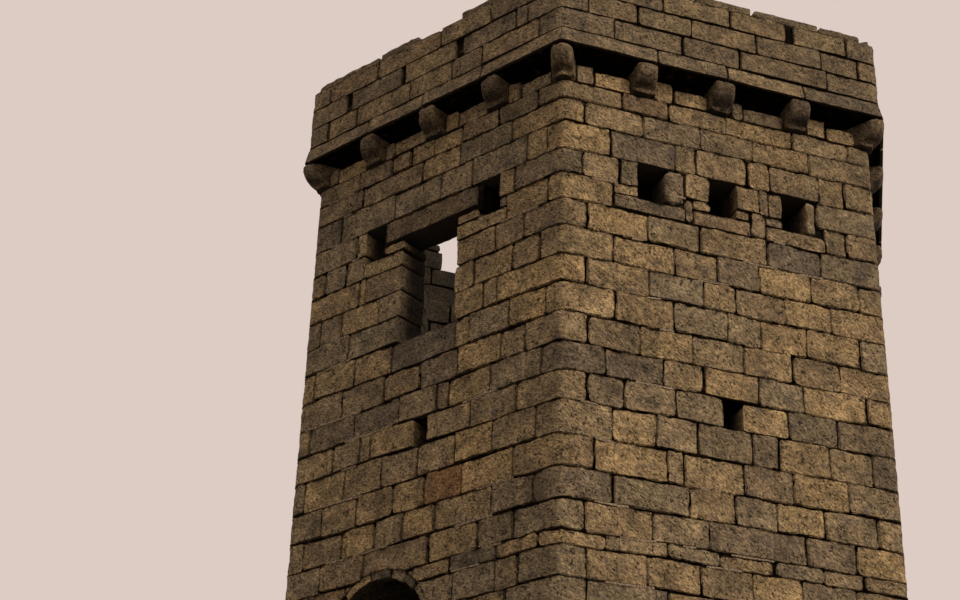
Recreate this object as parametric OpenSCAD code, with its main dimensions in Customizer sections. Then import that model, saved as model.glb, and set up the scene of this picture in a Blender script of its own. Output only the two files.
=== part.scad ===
// Ruined castle keep: a small hexagonal tower of squared stone, three storeys high,
// roofless, with a parapet carried on single rounded corbels. Millimetres, +Z up,
// origin at the centre of the base. Side 0 faces -Y, the sides follow anticlockwise.

/* [Plan] */
// Length of one side of the hexagon, outer wall face, corner to corner
side_l = 3800; // [3400:50:4400]
// Wall thickness of the cellar storey
base_t = 1250; // [1200:10:1400]
// Wall thickness of the entrance storey
lower_t = 950; // [900:10:1000]
// Wall thickness of the top storey
upper_t = 650; // [600:10:700]

/* [Storeys] */
// Height of the cellar walls, up to the ledge that carries the entrance floor
base_h = 5580; // [4000:10:6500]
// Height of the entrance storey walls, up to the ledge of the upper floor
lower_h = 4060; // [3800:10:4600]
// Height of the top storey walls, up to the foot of the corbels
upper_h = 3560; // [3400:10:4000]

/* [Floors] */
// Depth of the entrance floor joists
entrance_joist_h = 220; // [160:10:260]
// Depth of the upper floor joists
upper_joist_h = 200; // [160:10:260]
// Width of every joist
joist_w = 160; // [120:10:200]
// Joists side by side under the entrance floor
entrance_joist_count = 9; // [7:1:9]
// Joists side by side under the upper floor
upper_joist_count = 10; // [8:1:10]
// Thickness of the floor boards
board_t = 50; // [30:5:70]
// Gap between floor timbers and the walls round them
floor_gap = 20; // [10:1:40]

/* [Doorway] */
// Width of the arched doorway
door_w = 1300; // [900:10:1400]
// Height of its jambs, from the threshold to the springing of the arch
door_jamb_h = 1400; // [1200:10:1700]
// Offset of its middle from the middle of the front left side
door_x = -480; // [-500:10:100]

/* [Window] */
// Width of the window between its outer jambs
window_w = 810; // [600:10:900]
// Height of the window
window_h = 1350; // [1200:10:1400]
// Depth of the outer jambs, before the embrasure widens
window_jamb_d = 400; // [300:10:450]
// How far the embrasure widens on each side behind the jambs
embrasure_w = 250; // [150:10:280]
// Height of the lintel
lintel_h = 300; // [250:10:350]
// Bearing of the lintel on each jamb
lintel_bearing = 295; // [200:5:300]

/* [Slits] */
// Width of a slit at the outer face
slit_w = 190; // [120:10:260]
// Width of a slit at the inner face
slit_inner_w = 550; // [300:10:700]
// Height of a slit, under the ledge of the upper floor
slit_h = 290; // [200:10:400]

/* [Beam sockets] */
// Width of a beam socket
socket_w = 300; // [200:10:320]
// Height of a beam socket
socket_h = 450; // [300:10:450]
// Depth of a beam socket into the wall
socket_d = 400; // [300:10:450]
// Distance from socket to socket
socket_pitch = 865; // [860:5:950]
// Height of plain wall between the sockets and the corbels
socket_top_h = 900; // [800:10:1000]

/* [Corbels] */
// Width of a corbel
corbel_w = 270; // [200:10:320]
// Height of a corbel
corbel_h = 350; // [300:10:420]
// How far the parapet stands out from the wall, and each corbel with it
overhang = 205; // [150:5:260]
// Depth of a corbel's tail in the wall
corbel_tail = 350; // [300:10:400]
// Height of the wall stones between the corbels, under the open slots
infill_h = 200; // [150:10:260]
// Corbels to a side, without the ones at the corners
corbel_count = 3; // [2:1:3]

/* [Parapet] */
// Thickness of the parapet
parapet_t = 360; // [300:10:400]
// Height of the parapet without its cap stones
parapet_h = 1060; // [800:10:1300]
// How far the foot of the parapet flares out past its face
flare_w = 40; // [20:5:60]
// Height of the flared foot
flare_h = 220; // [150:10:260]
// Thickness of the cap stones
cap_h = 150; // [80:5:200]
// How far the cap stones stand back from the parapet face
cap_setback = 50; // [20:5:80]
// Open joint between two runs of cap stones at a corner
cap_joint = 16; // [8:1:30]
// Height of one parapet course, where the broken ends step
course_h = 280; // [250:10:330]

/* [Damage] */
// Where the parapet of the front right side breaks off, from the middle of that side
break_front_right = 1000; // [600:10:1100]
// Where the parapet of the back right side starts again
break_back_right = -1000; // [-1100:10:-600]
// Length that each course steps back at a break
break_step = 160; // [100:10:250]
// Courses that step back at a break
break_courses = 4; // [3:1:4]
// Right end of the gap in the cap of the front left side
cap_gap_right = 420; // [300:10:600]
// Left end of the gap in the cap of the front left side
cap_gap_left = -250; // [-500:10:0]
// Middle of the breach in the top of the back parapet
breach_x = 870; // [700:10:1100]
// Width of that breach
breach_w = 760; // [600:10:1000]

/* [Hidden] */
$fn = 48;

// Sides of the hexagon, counted anticlockwise from the front
front = 0;
front_right = 1;
back_right = 2;
back = 3;
back_left = 4;
front_left = 5;

// Distance from the middle of the keep to the middle of a side
apothem = side_l * cos(30);
// Longer than any side, for a run that ends only at its mitres
far = 2 * side_l;
// Past the face of what is cut
cut = 10;

// Levels above the ground
entrance_ledge_z = base_h;
threshold_z = base_h + entrance_joist_h + board_t;
springing_z = threshold_z + door_jamb_h;
upper_ledge_z = base_h + lower_h;
corbel_foot_z = upper_ledge_z + upper_h;
parapet_z = corbel_foot_z + corbel_h;
cap_z = parapet_z + parapet_h;
socket_top_z = corbel_foot_z - socket_top_h;
socket_foot_z = socket_top_z - socket_h;
window_head_z = socket_top_z - lintel_h;
sill_z = window_head_z - window_h;

// Depth from the outer wall face to the inner face of the parapet
parapet_inner_d = parapet_t + flare_w - overhang;
// Outer face of the cap stones, standing out from the wall
cap_outer_d = flare_w + cap_setback - overhang;
// Reach and tail of a corbel that lies on the diagonal at a corner
corner_reach = overhang / cos(30);
corner_tail = (corbel_tail + corbel_w / 2) / cos(30);

// Half the length of a side at a depth inside the outer face
function half_at(depth) = (apothem - depth) * tan(30);

// Plan of a straight piece of one side between two depths and two places along it;
// a place past the corner ends the piece on the mitre, an end gap draws it back
function run_plan(d0, d1, x0, x1, gap) = [
    [max(x0, gap - half_at(d0)), d0 - apothem],
    [min(x1, half_at(d0) - gap), d0 - apothem],
    [min(x1, half_at(d1) - gap), d1 - apothem],
    [max(x0, gap - half_at(d1)), d1 - apothem]
];

// Sets a piece drawn on the front side on another side
module on_side(i) rotate([0, 0, 60 * i]) children();

// A straight piece of wall
module run(d0, d1, z0, z1, x0 = -far, x1 = far, gap = 0)
    translate([0, 0, z0])
        linear_extrude(height = z1 - z0)
            polygon(run_plan(d0, d1, x0, x1, gap));

// A cut through a side, square to it
module side_cut(x0, x1, d0, d1, z0, z1)
    translate([x0, d0 - apothem, z0])
        cube([x1 - x0, d1 - d0, z1 - z0]);

// The sixth of the plan that one side fills, from the middle outwards
module sixth(z0, z1)
    translate([0, 0, z0])
        linear_extrude(height = z1 - z0)
            polygon([[0, 0], [-side_l, -side_l * tan(60)], [side_l, -side_l * tan(60)]]);

// Cellar storey
module base_wall(i)
    color([0.50, 0.45, 0.36])
        on_side(i)
            run(0, base_t, 0, entrance_ledge_z);

// The doorway side carries the threshold too
module front_left_base_wall()
    color([0.50, 0.45, 0.36])
        on_side(front_left) {
            run(0, base_t, 0, entrance_ledge_z);
            run(0, lower_t, entrance_ledge_z, threshold_z,
                door_x - door_w / 2, door_x + door_w / 2);
        }

// Entrance storey
module slit_cut()
    translate([0, -apothem, upper_ledge_z - slit_h])
        linear_extrude(height = slit_h + cut)
            polygon([
                [-slit_w / 2, -cut], [slit_w / 2, -cut], [slit_w / 2, 0],
                [slit_inner_w / 2, lower_t], [slit_inner_w / 2, lower_t + cut],
                [-slit_inner_w / 2, lower_t + cut], [-slit_inner_w / 2, lower_t],
                [-slit_w / 2, 0]
            ]);

module lower_wall(i)
    color([0.53, 0.48, 0.38])
        on_side(i)
            difference() {
                run(0, lower_t, entrance_ledge_z, upper_ledge_z);
                slit_cut();
            }

module doorway_left_wall()
    color([0.49, 0.44, 0.35])
        on_side(front_left)
            run(0, lower_t, entrance_ledge_z, springing_z, x1 = door_x - door_w / 2);

module doorway_right_wall()
    color([0.49, 0.44, 0.35])
        on_side(front_left)
            run(0, lower_t, entrance_ledge_z, springing_z, x0 = door_x + door_w / 2);

module doorway_arch_wall()
    color([0.51, 0.46, 0.36])
        on_side(front_left)
            difference() {
                run(0, lower_t, springing_z, upper_ledge_z);
                translate([door_x, lower_t + cut - apothem, springing_z])
                    rotate([90, 0, 0])
                        cylinder(d = door_w, h = lower_t + 2 * cut);
                slit_cut();
            }

// Floors of boards on joists, laid on the ledges; a room is a hexagon with apothem a
function joist_x(k, count, a) = (2 * k + 1 - count) * a / cos(30) / count;

function joist_half(x, a) =
    min(a, (a / cos(30) - abs(x) - joist_w / 2) / tan(30)) - floor_gap;

module joist(x, a, z, h)
    translate([x - joist_w / 2, -joist_half(x, a), z])
        cube([joist_w, 2 * joist_half(x, a), h]);

module joists(count, a, z, h)
    color([0.38, 0.32, 0.26])
        for (k = [0 : count - 1])
            joist(joist_x(k, count, a), a, z, h);

module boards(a, z)
    color([0.45, 0.40, 0.33])
        translate([0, 0, z])
            cylinder(r = (a - floor_gap) / cos(30), h = board_t, $fn = 6);

module entrance_floor_joists()
    joists(entrance_joist_count, apothem - lower_t, entrance_ledge_z, entrance_joist_h);

module entrance_floor_boards()
    boards(apothem - lower_t, entrance_ledge_z + entrance_joist_h);

module upper_floor_joists()
    joists(upper_joist_count, apothem - upper_t, upper_ledge_z, upper_joist_h);

module upper_floor_boards()
    boards(apothem - upper_t, upper_ledge_z + upper_joist_h);

// Top storey
module socket_cuts(z1)
    for (k = [-1 : 1])
        side_cut(k * socket_pitch - socket_w / 2, k * socket_pitch + socket_w / 2,
                 -cut, socket_d, socket_foot_z, z1);

module upper_wall(i)
    color([0.56, 0.50, 0.40])
        on_side(i)
            difference() {
                run(0, upper_t, upper_ledge_z, corbel_foot_z);
                socket_cuts(socket_top_z);
            }

module front_upper_wall()
    color([0.58, 0.52, 0.42])
        on_side(front)
            run(0, upper_t, upper_ledge_z, socket_foot_z);

module front_socket_course()
    color([0.55, 0.49, 0.39])
        on_side(front)
            difference() {
                run(0, upper_t, socket_foot_z, socket_top_z);
                socket_cuts(socket_top_z + cut);
            }

module front_top_wall()
    color([0.58, 0.52, 0.42])
        on_side(front)
            run(0, upper_t, socket_top_z, corbel_foot_z);

module window_breast_wall()
    color([0.51, 0.46, 0.36])
        on_side(front_left)
            run(0, upper_t, upper_ledge_z, sill_z);

// Space of the lintel, its bearings included
module lintel_space()
    side_cut(-window_w / 2 - lintel_bearing, window_w / 2 + lintel_bearing,
             0, window_jamb_d, window_head_z, socket_top_z);

// Window, lintel and the wider embrasure behind them
module window_cut() {
    side_cut(-window_w / 2, window_w / 2, -cut, upper_t + cut, sill_z - cut, socket_top_z + cut);
    side_cut(-window_w / 2 - embrasure_w, window_w / 2 + embrasure_w,
             window_jamb_d, upper_t + cut, sill_z - cut, socket_top_z + cut);
    side_cut(-window_w / 2 - lintel_bearing, window_w / 2 + lintel_bearing,
             -cut, window_jamb_d, window_head_z, socket_top_z + cut);
}

module window_left_wall()
    color([0.49, 0.44, 0.35])
        on_side(front_left)
            difference() {
                run(0, upper_t, sill_z, socket_top_z, x1 = 0);
                window_cut();
                socket_cuts(socket_top_z + cut);
            }

module window_right_wall()
    color([0.49, 0.44, 0.35])
        on_side(front_left)
            difference() {
                run(0, upper_t, sill_z, socket_top_z, x0 = 0);
                window_cut();
                socket_cuts(socket_top_z + cut);
            }

module window_lintel()
    color([0.45, 0.41, 0.33])
        on_side(front_left)
            lintel_space();

module front_left_top_wall()
    color([0.51, 0.46, 0.36])
        on_side(front_left)
            run(0, upper_t, socket_top_z, corbel_foot_z);

// Corbels, one stone each: square tail, front rounded under into the wall face
module corbel(reach, tail)
    translate([-corbel_w / 2, 0, 0])
        rotate([90, 0, 90])
            linear_extrude(height = corbel_w) {
                square([tail, corbel_h]);
                translate([-reach, reach])
                    square([reach, corbel_h - reach]);
                intersection() {
                    translate([0, reach])
                        circle(r = reach);
                    translate([-reach, 0])
                        square([reach, reach]);
                }
            }

function corbel_x(k) = side_l * ((k + 1) / (corbel_count + 1) - 1 / 2);

// Places for the corbels along a side, and for the one where that side begins
module at_side_corbels(i)
    on_side(i)
        for (k = [0 : corbel_count - 1])
            translate([corbel_x(k), -apothem, corbel_foot_z])
                children();

module at_corner(i)
    rotate([0, 0, 60 * i - 30])
        translate([0, -side_l, corbel_foot_z])
            children();

// Seat of a corbel's tail in the wall head, open to the front and the top
module corbel_seat(tail)
    translate([-corbel_w / 2, -corner_reach - cut, -cut])
        cube([corbel_w, corner_reach + cut + tail, corbel_h + 2 * cut]);

module corbels()
    color([0.42, 0.39, 0.32]) {
        for (i = [front : front_left])
            at_side_corbels(i)
                corbel(overhang, corbel_tail);
        // The front of a corner corbel is dressed back to the line of the parapet foot
        intersection() {
            for (i = [front : front_left])
                at_corner(i)
                    corbel(corner_reach, corner_tail);
            translate([0, 0, corbel_foot_z - cut])
                cylinder(r = side_l + corner_reach, h = corbel_h + 2 * cut, $fn = 6);
        }
    }

// Wall head: low stones between the corbels, full height from the parapet's inner face on
module head_course(i)
    color([0.52, 0.46, 0.36])
        difference() {
            on_side(i) {
                run(parapet_inner_d, upper_t, corbel_foot_z, parapet_z);
                run(0, parapet_inner_d, corbel_foot_z, corbel_foot_z + infill_h);
            }
            at_side_corbels(i)
                corbel_seat(corbel_tail);
            at_corner(i)
                corbel_seat(corner_tail);
            at_corner(i + 1)
                corbel_seat(corner_tail);
        }

// Parapet
module parapet_profile(x0, x1)
    intersection() {
        translate([x0, 0, 0])
            rotate([90, 0, 90])
                linear_extrude(height = x1 - x0)
                    polygon([
                        [-apothem - overhang, parapet_z],
                        [-apothem + parapet_inner_d, parapet_z],
                        [-apothem + parapet_inner_d, cap_z],
                        [-apothem - overhang + flare_w, cap_z],
                        [-apothem - overhang + flare_w, parapet_z + flare_h]
                    ]);
        sixth(parapet_z - cut, cap_z + cut);
    }

module parapet(i)
    color([0.54, 0.48, 0.38])
        on_side(i)
            parapet_profile(-far, far);

// Takes the stepped end off a run that breaks at x, towards far right or far left
module broken_end(x, way)
    for (k = [0 : break_courses - 1])
        side_cut(way > 0 ? x - k * break_step : -far,
                 way > 0 ? far : x + k * break_step,
                 -overhang - cut, parapet_inner_d + cut,
                 k == 0 ? parapet_z - cut : parapet_z + flare_h + (k - 1) * course_h,
                 cap_z + cut);

module front_right_parapet()
    color([0.54, 0.48, 0.38])
        on_side(front_right)
            difference() {
                parapet_profile(-far, far);
                broken_end(break_front_right, 1);
            }

module back_right_parapet()
    color([0.54, 0.48, 0.38])
        on_side(back_right)
            difference() {
                parapet_profile(-far, far);
                broken_end(break_back_right, -1);
            }

module back_parapet()
    color([0.54, 0.48, 0.38])
        on_side(back)
            difference() {
                parapet_profile(-far, far);
                side_cut(breach_x - breach_w / 2, breach_x + breach_w / 2,
                         -overhang - cut, parapet_inner_d + cut,
                         cap_z - course_h, cap_z + cut);
            }

// Cap stones, in runs that stop short of each other at the corners
module cap_run(i, x0 = -far, x1 = far)
    on_side(i)
        run(cap_outer_d, parapet_inner_d, cap_z, cap_z + cap_h, x0, x1, cap_joint);

module parapet_cap_stones()
    color([0.47, 0.43, 0.35]) {
        cap_run(front);
        cap_run(front_right, x1 = break_front_right - break_courses * break_step);
        cap_run(back_right, x0 = break_back_right + break_courses * break_step);
        cap_run(back, x1 = breach_x - breach_w / 2 - break_step);
        cap_run(back, x0 = breach_x + breach_w / 2 + cap_joint);
        cap_run(back_left);
        cap_run(front_left, x1 = cap_gap_left);
        cap_run(front_left, x0 = cap_gap_right);
    }

base_wall(front);  // front_base_wall
base_wall(front_right);  // front_right_base_wall
base_wall(back_right);  // back_right_base_wall
base_wall(back);  // back_base_wall
base_wall(back_left);  // back_left_base_wall
front_left_base_wall();
entrance_floor_joists();
entrance_floor_boards();
lower_wall(front);  // front_lower_wall
lower_wall(front_right);  // front_right_lower_wall
lower_wall(back_right);  // back_right_lower_wall
lower_wall(back);  // back_lower_wall
lower_wall(back_left);  // back_left_lower_wall
doorway_left_wall();
doorway_right_wall();
doorway_arch_wall();
upper_floor_joists();
upper_floor_boards();
front_upper_wall();
front_socket_course();
front_top_wall();
upper_wall(front_right);  // front_right_upper_wall
upper_wall(back_right);  // back_right_upper_wall
upper_wall(back);  // back_upper_wall
upper_wall(back_left);  // back_left_upper_wall
window_breast_wall();
window_left_wall();
window_right_wall();
window_lintel();
front_left_top_wall();
head_course(front);  // front_head_course
head_course(front_right);  // front_right_head_course
head_course(back_right);  // back_right_head_course
head_course(back);  // back_head_course
head_course(back_left);  // back_left_head_course
head_course(front_left);  // front_left_head_course
corbels();
parapet(front);  // front_parapet
front_right_parapet();
back_right_parapet();
back_parapet();
parapet(back_left);  // back_left_parapet
parapet(front_left);  // front_left_parapet
parapet_cap_stones();
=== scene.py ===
import bpy
import bmesh
import math
import random
import numpy as np
from mathutils import Matrix, Vector


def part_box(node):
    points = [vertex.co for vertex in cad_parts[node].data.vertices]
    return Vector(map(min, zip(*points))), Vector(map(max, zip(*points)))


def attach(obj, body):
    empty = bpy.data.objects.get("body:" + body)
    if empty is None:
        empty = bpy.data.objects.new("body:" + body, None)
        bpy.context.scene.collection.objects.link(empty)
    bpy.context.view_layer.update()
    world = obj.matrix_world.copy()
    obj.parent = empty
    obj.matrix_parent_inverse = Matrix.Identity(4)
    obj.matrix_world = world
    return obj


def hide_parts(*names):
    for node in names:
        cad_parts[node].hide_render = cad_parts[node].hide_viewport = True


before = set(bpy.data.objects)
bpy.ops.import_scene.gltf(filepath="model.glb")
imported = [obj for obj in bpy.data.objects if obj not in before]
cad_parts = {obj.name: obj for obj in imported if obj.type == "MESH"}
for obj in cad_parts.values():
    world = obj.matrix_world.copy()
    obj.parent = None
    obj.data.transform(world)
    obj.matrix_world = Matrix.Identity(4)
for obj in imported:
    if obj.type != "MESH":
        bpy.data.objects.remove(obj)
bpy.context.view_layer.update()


# Mortar and rubble: the hearting of every wall, lime mortar and small stones packed between the
# outer and the inner leaf. It shows only deep in the open joints and on the rough wall heads.
joint_depth = 0.045
# The ledge that the upper floor rests on, where the wall gets thinner
upper_ledge_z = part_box("front_lower_wall")[1].z


def linear(hex_colour):
    channels = [int(hex_colour[k:k + 2], 16) / 255 for k in (0, 2, 4)]
    return [c / 12.92 if c < 0.04045 else ((c + 0.055) / 1.055) ** 2.4 for c in channels] + [1]


def add_node(tree, kind, links=(), **settings):
    node = tree.nodes.new(kind)
    for name, value in settings.items():
        setattr(node, name, value)
    for socket, source in links.items() if isinstance(links, dict) else enumerate(links):
        if isinstance(source, bpy.types.Node):
            source = source.outputs[0]
        if isinstance(source, bpy.types.NodeSocket):
            tree.links.new(source, node.inputs[socket])
        elif source is not None:
            node.inputs[socket].default_value = source
    return node


def set_ramp(node, stops):
    ramp = node.color_ramp
    while len(ramp.elements) < len(stops):
        ramp.elements.new(0.5)
    for element, (place, colour) in zip(ramp.elements, stops):
        element.position = place
        element.color = linear(colour)


def start_material(name, roughness):
    material = bpy.data.materials.new(name)
    material.use_nodes = True
    shader = material.node_tree.nodes["Principled BSDF"]
    shader.inputs["Roughness"].default_value = roughness
    # Rough stone, lime and old wood have hardly any gloss
    shader.inputs["Specular IOR Level"].default_value = 0.25
    return material, material.node_tree, shader


def rubble_mortar():
    # Lime mortar with rubble, never smoothed: matt, with crumbs of pale pinkish lime; its dark brown to
    # near black is painted shade, as deep in the joints
    material, tree, shader = start_material("rubble and lime mortar", 0.95)
    # Nothing glances off it so deep in the joints
    shader.inputs["Specular IOR Level"].default_value = 0.0
    place = add_node(tree, "ShaderNodeTexCoord").outputs["Object"]
    # Rubble of about a hand's width
    lumps = add_node(tree, "ShaderNodeTexNoise", {"Vector": place, "Scale": 9, "Detail": 6})
    colour = add_node(tree, "ShaderNodeValToRGB", [lumps])
    # The near-black and dark brown stops are painted shade, and the pale stop is lime crumbs
    set_ramp(colour, [(0.38, "0e0b08"), (0.56, "1d1711"), (0.66, "34291d"), (0.76, "6f5c48")])
    # Grit of 10 mm
    grit = add_node(tree, "ShaderNodeTexNoise", {"Vector": place, "Scale": 55, "Detail": 4})
    bump = add_node(tree, "ShaderNodeBump", {"Height": grit, "Strength": 0.7, "Distance": 0.015})
    tree.links.new(colour.outputs[0], shader.inputs["Base Color"])
    tree.links.new(bump.outputs[0], shader.inputs["Normal"])
    return material


mortar = rubble_mortar()


def place_object(name, data):
    thing = bpy.data.objects.new(name, data)
    bpy.context.scene.collection.objects.link(thing)
    return thing


def mortar_core(node, open_bottom=False, open_top=False):
    """The solid of a node, drawn back by the depth of a joint wherever stones are laid against it."""
    close = 0.001
    core = bmesh.new()
    core.from_mesh(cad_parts[node].data)
    bmesh.ops.remove_doubles(core, verts=core.verts, dist=close / 2)
    core.normal_update()
    lo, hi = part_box(node)
    moves = []
    for vertex in core.verts:
        planes = []
        for face in vertex.link_faces:
            normal = face.normal
            if all((normal - other).length > 0.02 for other, _ in planes):
                on_mitre = abs(normal.z) < 0.1 and abs(normal.dot(vertex.co)) < 0.01
                at_bottom = normal.z < -0.9 and vertex.co.z < lo.z + close and not open_bottom
                at_top = normal.z > 0.9 and vertex.co.z > hi.z - close and not open_top
                stays = on_mitre or at_bottom or at_top
                planes.append((normal.copy(), 0 if stays else -joint_depth))
        rows = np.array([list(normal) for normal, _ in planes])
        steps = np.array([step for _, step in planes])
        moves.append(Vector(np.linalg.lstsq(rows, steps, rcond=0.01)[0]))
    for vertex, move in zip(core.verts, moves):
        vertex.co += move
    mesh = bpy.data.meshes.new(node.replace("_wall", "") + "_core")
    core.to_mesh(mesh)
    core.free()
    mesh.materials.append(mortar)
    piece = place_object(mesh.name, mesh)
    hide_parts(node)
    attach(piece, "root")


# Nodes that have pieces of their own, and nodes whose top or foot is seen in an opening
whole_nodes = ["entrance_floor_joists", "entrance_floor_boards", "upper_floor_joists",
               "upper_floor_boards", "window_lintel", "corbels", "parapet_cap_stones"]
open_tops = ["front_left_base_wall", "front_upper_wall", "window_breast_wall"]
open_bottoms = ["front_top_wall", "front_left_top_wall"]
for node in sorted(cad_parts):
    if node not in whole_nodes:
        mortar_core(node, node in open_bottoms, node in open_tops or node.endswith("head_course"))


# Ashlar: squared blocks of pitted brown sandstone, split and roughly dressed, with worn arrises
# and fallen pointing. One blank block is set at every stone and shaped, worn and bent round the
# corners of the keep by a node tree.
# From the axis of the keep square to the outer face of a side; half a side is mitre_slope times that
apothem = -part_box("front_base_wall")[0].y
mitre_slope = math.tan(math.radians(30))
corbel_foot_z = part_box("front_top_wall")[1].z
parapet_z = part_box("front_parapet")[0].z
top_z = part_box("parapet_cap_stones")[1].z
face_depth = 0.12
blanks = []


def blank_stations(cells, rims):
    """Places of a blank's points along one of its edges: the share of its length, and the rim beyond."""
    near = [(0, -rim) for rim in rims]
    # Points close to both ends keep the rounding narrow
    places = {k / cells for k in range(cells + 1)} | {0.025, 0.975}
    return near + [(place, 0) for place in sorted(places)] + [(1, rim) for rim in reversed(rims)]


def stone_blank(name, columns, rows, layers, rims=(1,)):
    """A closed block; with no layers its back is one face, for stones that show only their front."""
    across = blank_stations(columns, rims)
    upright = blank_stations(rows, rims)
    inward = blank_stations(layers, rims) if layers else [(0, -rim) for rim in rims] + [(0, 0), (1, 0)]
    last = (len(across) - 1, len(inward) - 1, len(upright) - 1)
    index = {}
    for i in range(len(across)):
        for j in range(len(inward)):
            for k in range(len(upright)):
                if i in (0, last[0]) or k in (0, last[2]) or j == 0 or (layers and j == last[1]):
                    index[i, j, k] = len(index)
    faces = []
    for fixed, one, two in ((0, 1, 2), (1, 0, 2), (2, 0, 1)):
        for end in (0, last[fixed]):
            if fixed == 1 and end and not layers:
                continue
            for m in range(last[one]):
                for n in range(last[two]):
                    corners = []
                    for dm, dn in ((0, 0), (1, 0), (1, 1), (0, 1)):
                        at = [0, 0, 0]
                        at[fixed] = end
                        at[one] = m + dm
                        at[two] = n + dn
                        corners.append(index[tuple(at)])
                    faces.append(corners)
    if not layers:
        around = [(i, 0) for i in range(last[0])]
        around += [(last[0], k) for k in range(last[2])]
        around += [(i, last[2]) for i in range(last[0], 0, -1)]
        around += [(0, k) for k in range(last[2], 0, -1)]
        faces.append([index[i, last[1], k] for i, k in around])
    share = np.array([(across[i][0], inward[j][0], upright[k][0]) for i, j, k in index])
    rim = np.array([(across[i][1], inward[j][1], upright[k][1]) for i, j, k in index])
    mesh = bpy.data.meshes.new(name)
    # The rims stand out a little here, so that the inside can be told from the outside
    mesh.from_pydata((share + 0.2 * rim).tolist(), [], faces)
    shell = bmesh.new()
    shell.from_mesh(mesh)
    bmesh.ops.recalc_face_normals(shell, faces=shell.faces)
    shell.to_mesh(mesh)
    shell.free()
    for label, values in (("share", share), ("rim", rim)):
        attribute = mesh.attributes.new(label, "FLOAT_VECTOR", "POINT")
        attribute.data.foreach_set("vector", values.astype(np.float32).ravel())
    blank = place_object(name, mesh)
    blank["columns"] = columns
    blanks.append(blank)
    return blank


fine_face = stone_blank("fine_face", 18, 9, 0)
plain_face = stone_blank("plain_face", 4, 2, 0)
inner_face = stone_blank("inner_face", 2, 1, 0)
fine_block = stone_blank("fine_block", 11, 6, 4)
plain_block = stone_blank("plain_block", 4, 2, 2)
inner_block = stone_blank("inner_block", 2, 1, 1)


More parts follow.
